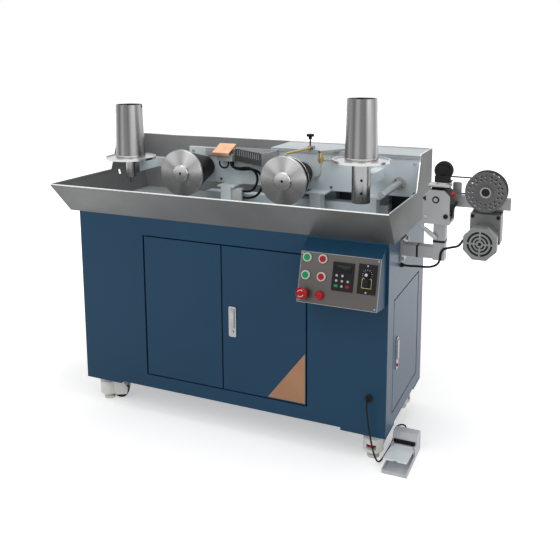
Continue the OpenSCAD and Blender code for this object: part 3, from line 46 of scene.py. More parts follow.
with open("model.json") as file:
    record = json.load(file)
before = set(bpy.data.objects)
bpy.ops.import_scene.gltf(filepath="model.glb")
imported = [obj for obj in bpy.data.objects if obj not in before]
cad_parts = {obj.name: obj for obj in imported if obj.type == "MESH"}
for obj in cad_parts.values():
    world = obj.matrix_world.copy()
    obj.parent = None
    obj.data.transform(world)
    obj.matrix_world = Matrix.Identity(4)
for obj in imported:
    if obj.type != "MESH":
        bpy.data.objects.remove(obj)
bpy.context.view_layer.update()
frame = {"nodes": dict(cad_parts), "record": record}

# The cabinet's middle and front face, which the machine's places are measured from
CABINET_LOW, CABINET_HIGH = (Vector(corner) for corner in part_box("cabinet_floor"))
MIDDLE_X = (CABINET_LOW.x + CABINET_HIGH.x) / 2
FRONT_Y = CABINET_LOW.y
MM = 0.001


def at(x, y, z):
    """A place in the frame: millimetres from the cabinet's middle, its front face and the floor."""
    return Vector((MIDDLE_X + x * MM, FRONT_Y + y * MM, z * MM))


def on_circle(centre, radius, angle):
    """A place on an upright circle that faces the front, in millimetres and radians."""
    x, y, z = centre
    return at(x + radius * math.cos(angle), y, z + radius * math.sin(angle))


# Directions, and the corners of a square
RIGHT = Vector((1, 0, 0))
FORWARD = Vector((0, -1, 0))
UP = Vector((0, 0, 1))
CORNERS = ((-1, -1), (-1, 1), (1, -1), (1, 1))

# Cabinet and castors, in millimetres like the sections below down to the console
CABINET_SIDE = (CABINET_HIGH.x - CABINET_LOW.x) / MM / 2
CASTORS = ((-570, 60), (570, 60), (-570, 450), (570, 450))
CASTOR_TOP = 100
CASTOR_BOLT_OUT = 26
CORNER_PLATE = ((185, 176), (331, 176), (331, 366))
LATCH_X = 44.5
LATCH_BUTTON = (LATCH_X, -4, 404)
LATCH_LEVER = ((LATCH_X - 7.5, -9.4, 418), (LATCH_X + 7.5, -7.4, 488))
SIDE_LATCH = (CABINET_SIDE + 4, 120, 328)
# A black plate in the pedal's slot: painted shade
PEDAL_SLOT_SHADE = ((632, 103, 41), (710, 107.5, 55))

# Tray: its rim, and where the rim starts and ends its rise at the cheeks
RIM_Z = 915
RIM_FRONT = -80
RIM_W = 3.4
TRAY_LEFT = -702
TRAY_RIGHT = 645
TRAY_BACK = 536
CHEEK_YS = (302, 355)
CHEEK_Z = 1048

# Drawing head and take-up cones
PLATE_Y = 343
PLATE_SCREW_XS = (-310, -180, 110, 300, 400, 625)
PLATE_SCREW_ZS = (903, 1013)
CAPSTAN_XS = {"left": -253, "right": 180}
CAPSTAN_Z = 951
DISC_Y = 150
BOSS_H = 8
CONE_RING_DEPTH = 46
SPINDLE = (569, PLATE_Y - 6.5, 938)
SPINDLE_SCREW_R = 18
DIE_FRONT = ((-100, 315), (58, 226))
# Painted light: a white plate just behind the die comb, so that its slots show light
COMB_LIGHT_RUN = (10, 168)
COMB_LIGHT_GAP = 0.5
COMB_LIGHT_Z = (992, 1033)
VALVE_STUB = ((288, 281, 1019), (328, 336, 1013))
HOSE_BLOCK = ((-105, 286.5, 825.7), (-60, 313.5, 878.5))
CONES = {"left": (-501, 172, 993), "right": (490, 120, 1046)}
BEARING_R = 32.5
BEARING_SCREW_DROPS = (60, 105)
BEARING_SCREW_TURN = 0.35

# Winder: the traverse, the spool with the radius, count and width of its holes, the motor and the wall plate
TRAVERSE_Y = 132
TRAVERSE_SIDE = 796
TRAVERSE_SCREW = (717, TRAVERSE_Y, 873)
TRAVERSE_KNOB = (783.5, TRAVERSE_Y, 876)
TRAVERSE_RING = (749, TRAVERSE_Y, 931)
POINTER = ((704, 935), (715, 926), (715, 944))
LEVER = (TRAVERSE_SIDE, 150, 903)
LEVER_ARMS = (((9, 2), (21, 25), 10), ((8, -1), (4, -28), 8))
PITCH_KNOB = (TRAVERSE_SIDE, 150, 949)
CARRIAGE_CAP = ((716.5, 156.5, 970), (789.5, 203.5, 978.6))
CAP_BUTTON = (764, 180, 978.6)
BELT_SHIELD = (802, 233, 956)
SPOOL = (908, 152, 964)
SPOOL_HOLES = ((54, 20, 9), (42, 16, 8))
MOTOR_AXIS = (908, 811)
# Black rings at the floors of the fan cover's slots: painted shade
FAN_SHADE_Y = 67
FAN_SLOT_SHADE = ((12, 17), (22, 28), (34, 41))
GEAR_Y = 174
GEAR_Z = 836
GEAR_BOLT_OUT = 42
WALL_PLATE = (180, 738)
WALL_PLATE_T = 6
WALL_BOLT_OUT = 30
CABLE_ENTRY = (CABINET_SIDE, 155.7, 684)
CABLE_SLEEVE = ((752, 152, 792), (697, 152, 834))
CABLE_TIES = (((737, 159, 776), (779, 201, 784)), ((680, 159, 717), (687, 201, 759)))

# Console: places on its face are right and down from the face's top left
CONSOLE_EDGE = (341, -54, 760)
CONSOLE_LEAN = math.radians(16)
FACE_EDGE = ((1, 1), (278, 169.6))
FACE_SCREW_US = (8, 271)
FACE_SCREW_VS = (8, 162)
PANEL_OUT = 6
DISPLAY = (154, 45)
KEY_OUT = 7.4
GREY_KEYS = ((134, 68), (154, 68), (134, 85), (154, 85), (174, 85), (154, 102))
RUN_KEY = (134, 102)
STOP_KEY = (174, 102)
DIAL = (237, 55)
DIAL_R = 16
DIAL_SWEEP = 130
DIAL_STEP = 26
KNOB_H = 14
SPEED_SCREW_VS = (26, 112)
SPEED_SWITCH = (237, 81)
SPEED_FRAME = ((221, 68), (253, 98))
STOP_BUTTON = (24, 140)
STOP_OUT = 37.2
STOP_MARK_R = 11
STOP_MARK_STARTS = (20, 200)
STOP_MARK_STEP = 22


def face(place, out=2.0):
    """A place on the console's face, moved out from the face by millimetres."""
    u, v = place
    lean_sin = math.sin(CONSOLE_LEAN)
    lean_cos = math.cos(CONSOLE_LEAN)
    x, y, z = CONSOLE_EDGE
    return at(x + u, y - v * lean_sin - out * lean_cos, z - v * lean_cos + out * lean_sin)


FACE_NORMAL = Vector((0, -math.cos(CONSOLE_LEAN), math.sin(CONSOLE_LEAN)))
FACE_UP = Vector((0, math.sin(CONSOLE_LEAN), math.cos(CONSOLE_LEAN)))

# Stage: camera, each lamp's place, target, size and share of the key's power, and floor in metres
CAMERA_PLACE = (1232.4, -2228.8, 1431.4)
CAMERA_TILT = math.radians(9.5)
CAMERA_TURN = math.radians(22.78)
CAMERA_SHIFT = (-0.0287, -0.1982)
SENSOR_W = 36
LAMPS = {
    "Key": ((-700, -2600, 2900), (0, 100, 700), 2.6, 1.0),
    "Side": ((2900, -900, 2200), (300, 200, 700), 2.2, 0.6),
    "Top": ((0, 300, 3300), (0, 200, 0), 2.6, 1.1)}
FLOOR_R = 14
FLOOR_FADE = (1.0, 2.4)


# Sizes and colours that a user would change

def colour(name, description, default):
    return FloatVectorProperty(name=name, description=description, default=default, size=3, min=0, max=1,
                               subtype="COLOR")


def length(name, description, default):
    return FloatProperty(name=name, description=description, default=default, min=0, unit="LENGTH",
                         subtype="DISTANCE")


class WireMachineColours(bpy.types.PropertyGroup):
    cabinet: colour("Cabinet", "Blue paint of the cabinet and the console", (0.009, 0.050, 0.101))
    frame_paint: colour("Frame", "Pale paint of the capstan plate and its posts", (0.72, 0.80, 0.84))
    housing: colour("Drive housing", "Grey paint of the drive housing", (0.44, 0.48, 0.50))
    stainless: colour("Stainless", "Front sheet of the splash tray", (0.15, 0.152, 0.152))
    # Painted light: the tray's inside sheets are its front's stainless, given lighter tones, the floor
    # lightest
    tray_inside: colour("Tray inside", "Sheet of the tray's back wall", (0.27, 0.275, 0.278))
    tray_floor: colour("Tray floor", "Sheet of the tray's floor", (0.37, 0.40, 0.41))
    tray_ends: colour("Tray ends", "Sheet of the tray's end walls", (0.21, 0.213, 0.215))
    bright_steel: colour("Bright steel", "Bearings, latches and screws", (0.34, 0.34, 0.345))
    cone_steel: colour("Cone steel", "Turned steel of the take-up cones", (0.25, 0.25, 0.253))
    disc_steel: colour("Disc steel", "Turned steel of the capstan discs", (0.42, 0.42, 0.422))
    motor: colour("Motor", "Cast housing of the winder's motor", (0.19, 0.192, 0.195))
    polished: colour("Polished steel", "Bosses, take-up flanges and the cone's ring", (0.56, 0.56, 0.56))
    # Painted highlight: a near-white bar along the tray's rim
    rim: colour("Rim", "Bright edge of the tray", (0.88, 0.88, 0.88))
    face_plate: colour("Face plate", "Sheet of the console's face", (0.092, 0.086, 0.081))
    cone: colour("Stepped cone", "Dark coating of the stepped cones", (0.014, 0.014, 0.015))
    copper: colour("Copper", "Bent copper shield and the bearing's bush", (0.72, 0.42, 0.26))
    brass: colour("Brass", "Nozzle, valve and the switch's frame", (0.56, 0.42, 0.17))
    machined: colour("Machined", "Machined light metal of the winder and the keys", (0.30, 0.305, 0.31))
    die_steel: colour("Die box", "Pale steel of the die box and the guide spindle", (0.46, 0.47, 0.475))
    comb: colour("Comb", "Dark steel of the die box's comb", (0.12, 0.122, 0.125))
    # Painted light: white seen through the die comb's slots and the spool's holes
    hole_light: colour("Liner", "White liner behind the comb and sleeves in the spool", (0.90, 0.92, 0.93))
    spool: colour("Spool", "Dark sheet of the perforated spool", (0.085, 0.085, 0.088))
    rubber: colour("Rubber", "Cords, hoses, belts and tyres", (0.010, 0.010, 0.010))
    black: colour("Black plastic", "Knobs, rollers and control modules", (0.012, 0.012, 0.013))
    pale: colour("Pale plastic", "Bezels, marks, fittings and the clear hose", (0.58, 0.59, 0.58))
    cream: colour("Cream", "Castor housings", (0.82, 0.81, 0.77))
    red: colour("Red", "Stop buttons, small knobs and thumbwheels", (0.38, 0.005, 0.012))
    green: colour("Green", "Start buttons", (0.004, 0.27, 0.09))
    pedal: colour("Pedal", "Enamel of the foot pedal", (0.58, 0.60, 0.63))
    treadle: colour("Treadle", "Pale plate of the foot pedal", (0.80, 0.85, 0.88))
    corner_plate: colour("Corner plate", "Thin plate on the right door's lower corner", (0.38, 0.20, 0.11))
    glass: colour("Display", "Dark window of the keypad", (0.008, 0.010, 0.010))


class WireMachineSizes(bpy.types.PropertyGroup):
    cord_d: length("Pedal cord", "Diameter of the pedal's cord", 0.006)
    cable_d: length("Motor cable", "Diameter of the winder motor's cable", 0.008)
    hose_d: length("Hose", "Diameter of the coolant hoses", 0.010)
    thin_hose_d: length("Thin hose", "Diameter of the thin coolant hoses", 0.007)
    screw_d: length("Screw", "Head diameter of the plate screws", 0.010)
    bolt_d: length("Bolt", "Width of the bolts on the winder", 0.013)
    castor_bolt_d: length("Castor bolt", "Width of the bolts on the castors", 0.010)
    bearing_screw_d: length("Bearing screw", "Head diameter of the right bearing's screws", 0.009)
    spindle_screw_d: length("Spindle screw", "Head diameter of the guide spindle's screws", 0.0065)
    fine_screw_d: length("Fine screw", "Head diameter of the console's screws", 0.006)
    curve_steps: IntProperty(name="Curve steps", description="Points between two places of a cord's route",
                             default=6, min=2, max=12)


class WireMachineStage(bpy.types.PropertyGroup):
    lens: FloatProperty(name="Lens", description="Focal length of the camera in millimetres", default=46.29,
                        min=10, unit="CAMERA")
    floor: colour("Floor", "Pale studio floor", (0.88, 0.88, 0.88))
    floor_lift: FloatProperty(name="Floor lift", description="White added to the floor near the machine",
                              default=0.42, min=0, max=1)
    sky: FloatProperty(name="Sky light", description="Strength of the even light from all sides",
                       default=0.42, min=0)
    key: FloatProperty(name="Key light", description="Power of the large lamp in front", default=34, min=0,
                       unit="POWER")


# Node helpers

def set_inputs(tree, node, inputs):
    """Sets each input of a node to a value, or links it from a socket."""
    for name, value in inputs.items():
        if isinstance(value, bpy.types.NodeSocket):
            tree.links.new(value, node.inputs[name])
        else:
            node.inputs[name].default_value = value


def add_node(tree, kind, inputs=None, **settings):
    """Adds a node with its settings and inputs, and gives its outputs."""
    node = tree.nodes.new(kind)
    for name, value in settings.items():
        setattr(node, name, value)
    set_inputs(tree, node, inputs or {})
    return node.outputs


def vector_math(tree, operation, *values):
    return add_node(tree, "ShaderNodeVectorMath", dict(enumerate(values)), operation=operation)


def new_group(name, kind, inputs, outputs):
    """A new node group, with a type and a default for each input and a type for each output."""
    tree = bpy.data.node_groups.new(name, kind)
    for socket, (socket_type, default) in inputs.items():
        made = tree.interface.new_socket(socket, in_out="INPUT", socket_type=f"NodeSocket{socket_type}")
        if default is not None:
            made.default_value = default
    for socket, socket_type in outputs.items():
        tree.interface.new_socket(socket, in_out="OUTPUT", socket_type=f"NodeSocket{socket_type}")
    return tree, add_node(tree, "NodeGroupInput")


def mottle_group():
    """Soft patches and fine grain: two values about 0.5 that change over the surface."""
    name = "Surface mottle"
    if name in bpy.data.node_groups:
        return bpy.data.node_groups[name]
    sockets = {"Scale": ("Float", 6.0), "Stretch": ("Vector", (1, 1, 1))}
    tree, given = new_group(name, "ShaderNodeTree", sockets, {"Patches": "Float", "Grain": "Float"})
    place = add_node(tree, "ShaderNodeTexCoord")["Object"]
    stretched = vector_math(tree, "MULTIPLY", place, given["Stretch"])[0]
    patches = add_node(tree, "ShaderNodeTexNoise", {"Vector": place, "Scale": given["Scale"], "Detail": 4})
    fine = add_node(tree, "ShaderNodeTexNoise", {"Vector": stretched, "Scale": 300, "Detail": 3})
    add_node(tree, "NodeGroupOutput", {"Patches": patches["Fac"], "Grain": fine["Fac"]})
    return tree


def turned_group():
    """Lathe rings by the distance from an axis, and light and dark sectors of painted reflection round it."""
    name = "Turned marks"
    if name in bpy.data.node_groups:
        return bpy.data.node_groups[name]
    sockets = {"Centre": ("Vector", None), "Across": ("Vector", (1, 0, 1)), "Rings": ("Float", 700),
               "Reflection sectors": ("Float", 1.6)}
    tree, given = new_group(name, "ShaderNodeTree", sockets, {"Rings": "Float", "Reflection sectors": "Float"})
    place = add_node(tree, "ShaderNodeTexCoord")["Object"]
    centred = vector_math(tree, "SUBTRACT", place, given["Centre"])[0]
    flat = vector_math(tree, "MULTIPLY", centred, given["Across"])[0]
    radius = vector_math(tree, "LENGTH", flat)["Value"]
    way = vector_math(tree, "NORMALIZE", flat)[0]
    rings = add_node(tree, "ShaderNodeTexNoise", {"W": radius, "Scale": given["Rings"], "Detail": 2},
                     noise_dimensions="1D")
    reflection_sectors = add_node(tree, "ShaderNodeTexNoise", {"Vector": way, "Scale": given["Reflection sectors"], "Detail": 1.5})
    add_node(tree, "NodeGroupOutput", {"Rings": rings["Fac"], "Reflection sectors": reflection_sectors["Fac"]})
    return tree


def mapped(tree, source, span, result):
    """A value that goes from the first to the second of result while the source goes over span."""
    limits = dict(zip(("From Min", "From Max", "To Min", "To Max"), (*span, *result)))
    return add_node(tree, "ShaderNodeMapRange", {"Value": source, **limits})["Result"]


# The values that a noise mostly stays between
NOISE_SPAN = (0.3, 0.7)


def shaded(tree, rgb, source, spread):
    """The colour, darker and lighter by spread as the source changes."""
    dark = (*[max(0, c * (1 - spread)) for c in rgb], 1)
    light = (*[min(1, c * (1 + spread)) for c in rgb], 1)
    mix = {"A": dark, "B": light, "Factor": mapped(tree, source, NOISE_SPAN, (0, 1))}
    return add_node(tree, "ShaderNodeMix", mix, data_type="RGBA")["Result"]


def finish(name, rgb, roughness, metallic=0.0, spread=0.08, patches=6.0, grain=0.3, stretch=(1, 1, 1),
           bump=0.02, rough_spread=0.06, turned=None, specular=0.5, edge=1.0):
    """A surface whose colour, roughness and fine relief change; turned marks it round an axis with painted
    reflection.
    """
    label = f"{name}_finish"
    if label in bpy.data.materials:
        return bpy.data.materials[label]
    material = bpy.data.materials.new(label)
    material.use_nodes = True
    tree = material.node_tree
    if turned:
        values = dict(zip(("Centre", "Across", "Reflection sectors"), turned))
        marks = add_node(tree, "ShaderNodeGroup", values, node_tree=turned_group())
        # A turned colour takes its light and dark from the sectors of painted reflection
        tone_and_reflection, source = marks["Reflection sectors"], marks["Rings"]
    else:
        values = {"Scale": patches, "Stretch": stretch}
        mottle = add_node(tree, "ShaderNodeGroup", values, node_tree=mottle_group())
        tone_and_reflection, source = mottle["Patches"], mottle["Grain"]
    relief = add_node(tree, "ShaderNodeBump", {"Strength": grain, "Distance": bump * MM, "Height": source})
    set_inputs(tree, tree.nodes["Principled BSDF"], {
        "Base Color": shaded(tree, rgb, tone_and_reflection, spread),
        "Metallic": metallic,
        "Roughness": mapped(tree, source, NOISE_SPAN, (roughness - rough_spread, roughness + rough_spread)),
        "Specular IOR Level": specular,
        "Specular Tint": (edge, edge, edge, 1),
        "Normal": relief["Normal"]})
    return material


# Finishes, and the ways that their grain and their turned marks run

ALONG_X = (0.02, 1, 1)
ACROSS_Y = (1, 0, 1)
ACROSS_Z = (1, 1, 0)


def colours():
    return bpy.context.scene.wire_machine_colours


def sizes():
    return bpy.context.scene.wire_machine_sizes


def blue_paint(name, roughness, specular):
    return finish(name, colours().cabinet, roughness, spread=0.05, patches=2.5, bump=0.05, grain=0.12,
                  specular=specular)


def cabinet_paint():
    return blue_paint("cabinet_paint", 0.45, 0.2)


# Painted sheen: the side panels take a glossier copy of the cabinet's blue, so that they read lighter than
# the front
def side_sheen_paint():
    return blue_paint("side_sheen_paint", 0.40, 0.6)


def pale_paint(name, rgb):
    return finish(name, rgb, 0.40, spread=0.06, patches=5, bump=0.05, grain=0.15, specular=0.3)


def frame_paint():
    return pale_paint("frame_paint", colours().frame_paint)


def housing_paint():
    return pale_paint("housing_paint", colours().housing)


def stainless():
    return finish("stainless", colours().stainless, 0.36, metallic=0.55, spread=0.22, patches=3.0,
                  stretch=ALONG_X, bump=0.03, grain=0.25)


# The tray's back wall, floor and end walls are the same stainless as its front; their lighter tones are
# painted light inside the tray
def tray_sheet(name, rgb):
    return finish(name, rgb, 0.46, metallic=0.4, spread=0.18, patches=3.0, stretch=ALONG_X, bump=0.03,
                  grain=0.2, specular=0.1, edge=0.5)


def tray_inside():
    return tray_sheet("tray_inside", colours().tray_inside)


def tray_floor():
    return tray_sheet("tray_floor", colours().tray_floor)


def tray_ends():
    return tray_sheet("tray_ends", colours().tray_ends)


def die_steel():
    return finish("die_steel", colours().die_steel, 0.38, metallic=0.35, patches=14, bump=0.03)


def comb_steel():
    return finish("comb_steel", colours().comb, 0.42, metallic=0.6, patches=14, bump=0.03)


# White for the painted light seen through the comb's slots and the spool's holes
def hole_light_white():
    return finish("hole_light_white", colours().hole_light, 0.5, spread=0.04, patches=14)


def face_plate():
    return finish("face_plate", colours().face_plate, 0.40, metallic=0.85, stretch=ALONG_X)


def bright_steel():
    return finish("bright_steel", colours().bright_steel, 0.26, metallic=1.0, spread=0.10, patches=9,
                  bump=0.004, grain=0.05, rough_spread=0.02)


def cone_black():
    return finish("cone_black", colours().cone, 0.42, metallic=0.2, spread=0.25, patches=25, bump=0.04,
                  specular=0.2)


def copper():
    return finish("copper", colours().copper, 0.36, metallic=0.75, spread=0.14, patches=30, bump=0.03)


def brass():
    return finish("brass", colours().brass, 0.30, metallic=1.0, spread=0.12, patches=40, bump=0.01)


def machined():
    return finish("machined", colours().machined, 0.42, metallic=0.6, patches=12, bump=0.05)


def spool_grey():
    return finish("spool_grey", colours().spool, 0.40, metallic=0.6, spread=0.12, patches=14, bump=0.03)


def rubber():
    return finish("rubber", colours().rubber, 0.55, spread=0.2, patches=40, bump=0.03, specular=0.12)


def black_plastic():
    return finish("black_plastic", colours().black, 0.45, spread=0.15, patches=30, bump=0.04, specular=0.14)


def castor_cream():
    return finish("castor_cream", colours().cream, 0.40, patches=25, bump=0.04)


def signal(name, rgb):
    return finish(name, rgb, 0.30, patches=30, bump=0.01, specular=0.2)


def signal_red():
    return signal("signal_red", colours().red)


def signal_green():
    return signal("signal_green", colours().green)


def pedal_enamel():
    return finish("pedal_enamel", colours().pedal, 0.38, patches=18, bump=0.06, specular=0.35)


def treadle_plate():
    return finish("treadle_plate", colours().treadle, 0.38, spread=0.06, patches=18, bump=0.06, specular=0.35)


def corner_brown():
    return finish("corner_brown", colours().corner_plate, 0.45, metallic=0.2, spread=0.06, patches=9,
                  stretch=ALONG_X, specular=0.3)


def display_glass():
    return finish("display_glass", colours().glass, 0.12, spread=0.1, bump=0.0, rough_spread=0.02,
                  specular=0.15)


def pale_plastic():
    return finish("pale_plastic", colours().pale, 0.4, spread=0.06, patches=30, bump=0.03)


def polished_steel():
    return finish("polished_steel", colours().polished, 0.22, metallic=1.0, spread=0.06, patches=9, bump=0.01)


# Painted highlight: a near-white bar laid along the tray's rim stands in for the bright line of its edge
def rim_highlight_steel():
    return finish("rim_highlight_steel", colours().rim, 0.30, metallic=0.8, spread=0.06, patches=9, bump=0.01)


# Painted reflection: light and dark sectors round the disc's middle stand in for the turned face's highlights
def disc_steel(name, centre):
    return finish(name, colours().disc_steel, 0.27, metallic=1.0, spread=0.42, turned=(centre, ACROSS_Y, 1.3),
                  bump=0.04, grain=0.4, rough_spread=0.03)


# Painted reflection: wide light and dark sectors round the axis stand in for the bands that the cones reflect
def cone_steel(name, centre):
    return finish(name, colours().cone_steel, 0.27, metallic=1.0, spread=0.72, turned=(centre, ACROSS_Z, 1.7),
                  bump=0, grain=0, rough_spread=0)


def motor_grey():
    return finish("motor_grey", colours().motor, 0.45, metallic=0.5, spread=0.10, patches=20, bump=0.05)


# Shapes that are added to a mesh

def turn_to(direction):
    """A turn that takes +Z to a direction."""
    return Vector(direction).normalized().to_track_quat("Z", "Y").to_matrix().to_4x4()


def add_lathe(bm, profile, place, direction, sides=40):
    """Adds a turned shape: the profile's radius and height in millimetres, from place along direction."""
    turn = Matrix.Translation(place) @ turn_to(direction)
    angles = [2 * math.pi * k / sides for k in range(sides)]
    rings = []
    for radius, height in profile:
        circle = [(radius * math.cos(a), radius * math.sin(a), height) for a in angles]
        if radius < 1e-6:
            circle = [(0, 0, height)]
        rings.append([bm.verts.new(turn @ (Vector(point) * MM)) for point in circle])
    for lower, upper in zip(rings, rings[1:]):
        for k in range(sides):
            ring = [lower[k % len(lower)], lower[(k + 1) % len(lower)], upper[(k + 1) % len(upper)],
                    upper[k % len(upper)]]
            corners = list(dict.fromkeys(ring))
            if len(corners) > 2:
                bm.faces.new(corners)


def add_box(bm, corners, bevel):
    """Adds a box between two corners of the machine, with its edges rounded by bevel, all in millimetres."""
    low, high = (at(*corner) for corner in corners)
    centre = Matrix.Translation((low + high) / 2)
    made = bmesh.ops.create_cube(bm, size=1, matrix=centre @ Matrix.Diagonal((*(high - low), 1)))
    edges = list({e for v in made["verts"] for e in v.link_edges})
    bmesh.ops.bevel(bm, geom=edges, offset=bevel * MM, segments=2, affect="EDGES", profile=0.5)


def add_bar(bm, start, end, width):
    """Adds a square bar between two places, with its width in millimetres."""
    run = end - start
    turn = Matrix.Translation((start + end) / 2) @ turn_to(run)
    bmesh.ops.create_cube(bm, size=1, matrix=turn @ Matrix.Diagonal((width * MM, width * MM, run.length, 1)))


def add_plate(bm, outline, normal, thickness, bevel=0.4):
    """Adds a flat plate: an outline of places, and its thickness in millimetres along the normal."""
    base = [bm.verts.new(place) for place in outline]
    top = [bm.verts.new(place + normal * thickness * MM) for place in outline]
    count = len(outline)
    bm.faces.new(base[::-1])
    lid = bm.faces.new(top)
    for k in range(count):
        bm.faces.new([base[k], base[(k + 1) % count], top[(k + 1) % count], top[k]])
    bmesh.ops.bevel(bm, geom=list(lid.edges), offset=bevel * MM, segments=2, affect="EDGES", profile=0.5)


def round_box_outline(centre, right, up, width, height, radius, steps=5):
    """The places round a rectangle with round corners, on a plane given by its right and up directions."""
    places = []
    for corner, (sx, sy) in enumerate(((1, 1), (-1, 1), (-1, -1), (1, -1))):
        for k in range(steps + 1):
            angle = math.pi / 2 * (corner + k / steps)
            x = sx * (width / 2 - radius) + radius * math.cos(angle)
            y = sy * (height / 2 - radius) + radius * math.sin(angle)
            places.append(centre + right * x * MM + up * y * MM)
    return places


# Finished pieces, each with its place in its mesh, that ride on a body

def place_piece(obj, body):
    bpy.context.scene.collection.objects.link(obj)
    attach(obj, body)
    return obj


def mesh_of(name, bm, smooth_angle=35):
    bmesh.ops.remove_doubles(bm, verts=bm.verts, dist=1e-6)
    bmesh.ops.recalc_face_normals(bm, faces=bm.faces)
    mesh = bpy.data.meshes.new(name)
    bm.to_mesh(mesh)
    bm.free()
    mesh.shade_smooth()
    mesh.set_sharp_from_angle(angle=math.radians(smooth_angle))
    return mesh


def piece(name, body, material, bm):
    mesh = mesh_of(name, bm)
    mesh.materials.append(material)
    return place_piece(bpy.data.objects.new(name, mesh), body)


def turned_piece(name, body, material, profile, place, direction, sides=40):
    """A piece of one turned shape."""
    bm = bmesh.new()
    add_lathe(bm, profile, place, direction, sides)
    return piece(name, body, material, bm)


def plate_piece(name, body, material, outline, normal, thickness, bevel=0.4):
    """A piece of one flat plate."""
    bm = bmesh.new()
    add_plate(bm, outline, normal, thickness, bevel)
    return piece(name, body, material, bm)


def curve_point(a, b, c, d, t):
    """A point between b and c on a smooth curve through four places, with t from 0 to 1."""
    square = 2 * a - 5 * b + 4 * c - d
    cube = 3 * b - a - 3 * c + d
    return 0.5 * (2 * b + (c - a) * t + square * t ** 2 + cube * t ** 3)


def smooth_route(places, steps):
    """A smooth curve through a route's places."""
    last = len(places) - 1
    points = []
    for i in range(last):
        ends = (places[max(i - 1, 0)], places[i], places[i + 1], places[min(i + 2, last)])
        points += [curve_point(*ends, k / steps) for k in range(steps)]
    return points + [places[last]]


def tube_curve(name, points, diameter, body, material):
    """A round tube along points, as one open curve."""
    curve = bpy.data.curves.new(name, "CURVE")
    curve.dimensions = "3D"
    curve.bevel_depth = diameter / 2
    curve.bevel_resolution = 4
    curve.use_fill_caps = True
    spline = curve.splines.new("POLY")
    spline.points.add(len(points) - 1)
    for point, place in zip(spline.points, points):
        point.co = (*place, 1)
    curve.materials.append(material)
    return place_piece(bpy.data.objects.new(name, curve), body)


# Screw heads on places, each turned to face its own way

HEIGHT_SHARE = 0.9
RECESS_SHARE = 0.35
HEXAGON = {"sides": 6, "recess": 0.5}


def screw_tree():
    name = "Screw heads"
    if name in bpy.data.node_groups:
        return bpy.data.node_groups[name]
    sockets = {"Places": ("Geometry", None), "Radius": ("Float", 0.005), "Height": ("Float", 0.006),
               "Recess": ("Float", 0.55), "Sides": ("Int", 20), "Material": ("Material", None)}
    tree, given = new_group(name, "GeometryNodeTree", sockets, {"Heads": "Geometry"})
    head = add_node(tree, "GeometryNodeMeshCylinder", {
        "Vertices": given["Sides"], "Radius": given["Radius"], "Depth": given["Height"]}, fill_type="NGON")
    inset = add_node(tree, "GeometryNodeExtrudeMesh", {
        "Mesh": head["Mesh"], "Selection": head["Top"], "Offset Scale": 0})
    shrink = add_node(tree, "GeometryNodeScaleElements", {
        "Geometry": inset["Mesh"], "Selection": inset["Top"], "Scale": given["Recess"]})
    depth = add_node(tree, "ShaderNodeMath", {0: given["Height"], 1: -RECESS_SHARE}, operation="MULTIPLY")
    sink = add_node(tree, "GeometryNodeExtrudeMesh", {
        "Mesh": shrink["Geometry"], "Selection": inset["Top"], "Offset Scale": depth[0]})
    facing = add_node(tree, "GeometryNodeInputNamedAttribute", {"Name": "facing"}, data_type="FLOAT_VECTOR")
    turn = add_node(tree, "FunctionNodeAlignRotationToVector", {"Vector": facing["Attribute"]}, axis="Z")
    scatter = add_node(tree, "GeometryNodeInstanceOnPoints", {
        "Points": given["Places"], "Instance": sink["Mesh"], "Rotation": turn["Rotation"]})
    realize = add_node(tree, "GeometryNodeRealizeInstances", {"Geometry": scatter["Instances"]})
    paint = add_node(tree, "GeometryNodeSetMaterial", {
        "Geometry": realize["Geometry"], "Material": given["Material"]})
    add_node(tree, "NodeGroupOutput", {"Heads": paint["Geometry"]})
    return tree


def screws(name, places, diameter, material, slot="bright_steel", sides=20, recess=0.55):
    """Screw heads half sunk in their seats, at pairs of a place and the way that it faces."""
    tree = screw_tree()
    base = bpy.data.meshes.new(name)
    base.from_pydata([place for place, way in places], [], [])
    facing = base.attributes.new("facing", "FLOAT_VECTOR", "POINT")
    for k, (place, way) in enumerate(places):
        facing.data[k].vector = way
    carrier = bpy.data.objects.new(name, base)
    bpy.context.scene.collection.objects.link(carrier)
    modifier = carrier.modifiers.new("Screw heads", "NODES")
    modifier.node_group = tree
    values = {"Radius": diameter / 2, "Height": diameter * HEIGHT_SHARE, "Recess": recess, "Sides": sides,
              "Material": material}
    for item in tree.interface.items_tree:
        if item.item_type == "SOCKET" and item.in_out == "INPUT" and item.name in values:
            modifier[item.identifier] = values[item.name]
    graph = bpy.context.evaluated_depsgraph_get()
    mesh = bpy.data.meshes.new_from_object(carrier.evaluated_get(graph))
    bpy.data.objects.remove(carrier)
    if not mesh.polygons:
        raise RuntimeError(f"{name}: the screw tree made no heads")
    mesh.name = name
    return place_piece(bpy.data.objects.new(name, mesh), "cabinet")


# Operators, one for each group of pieces

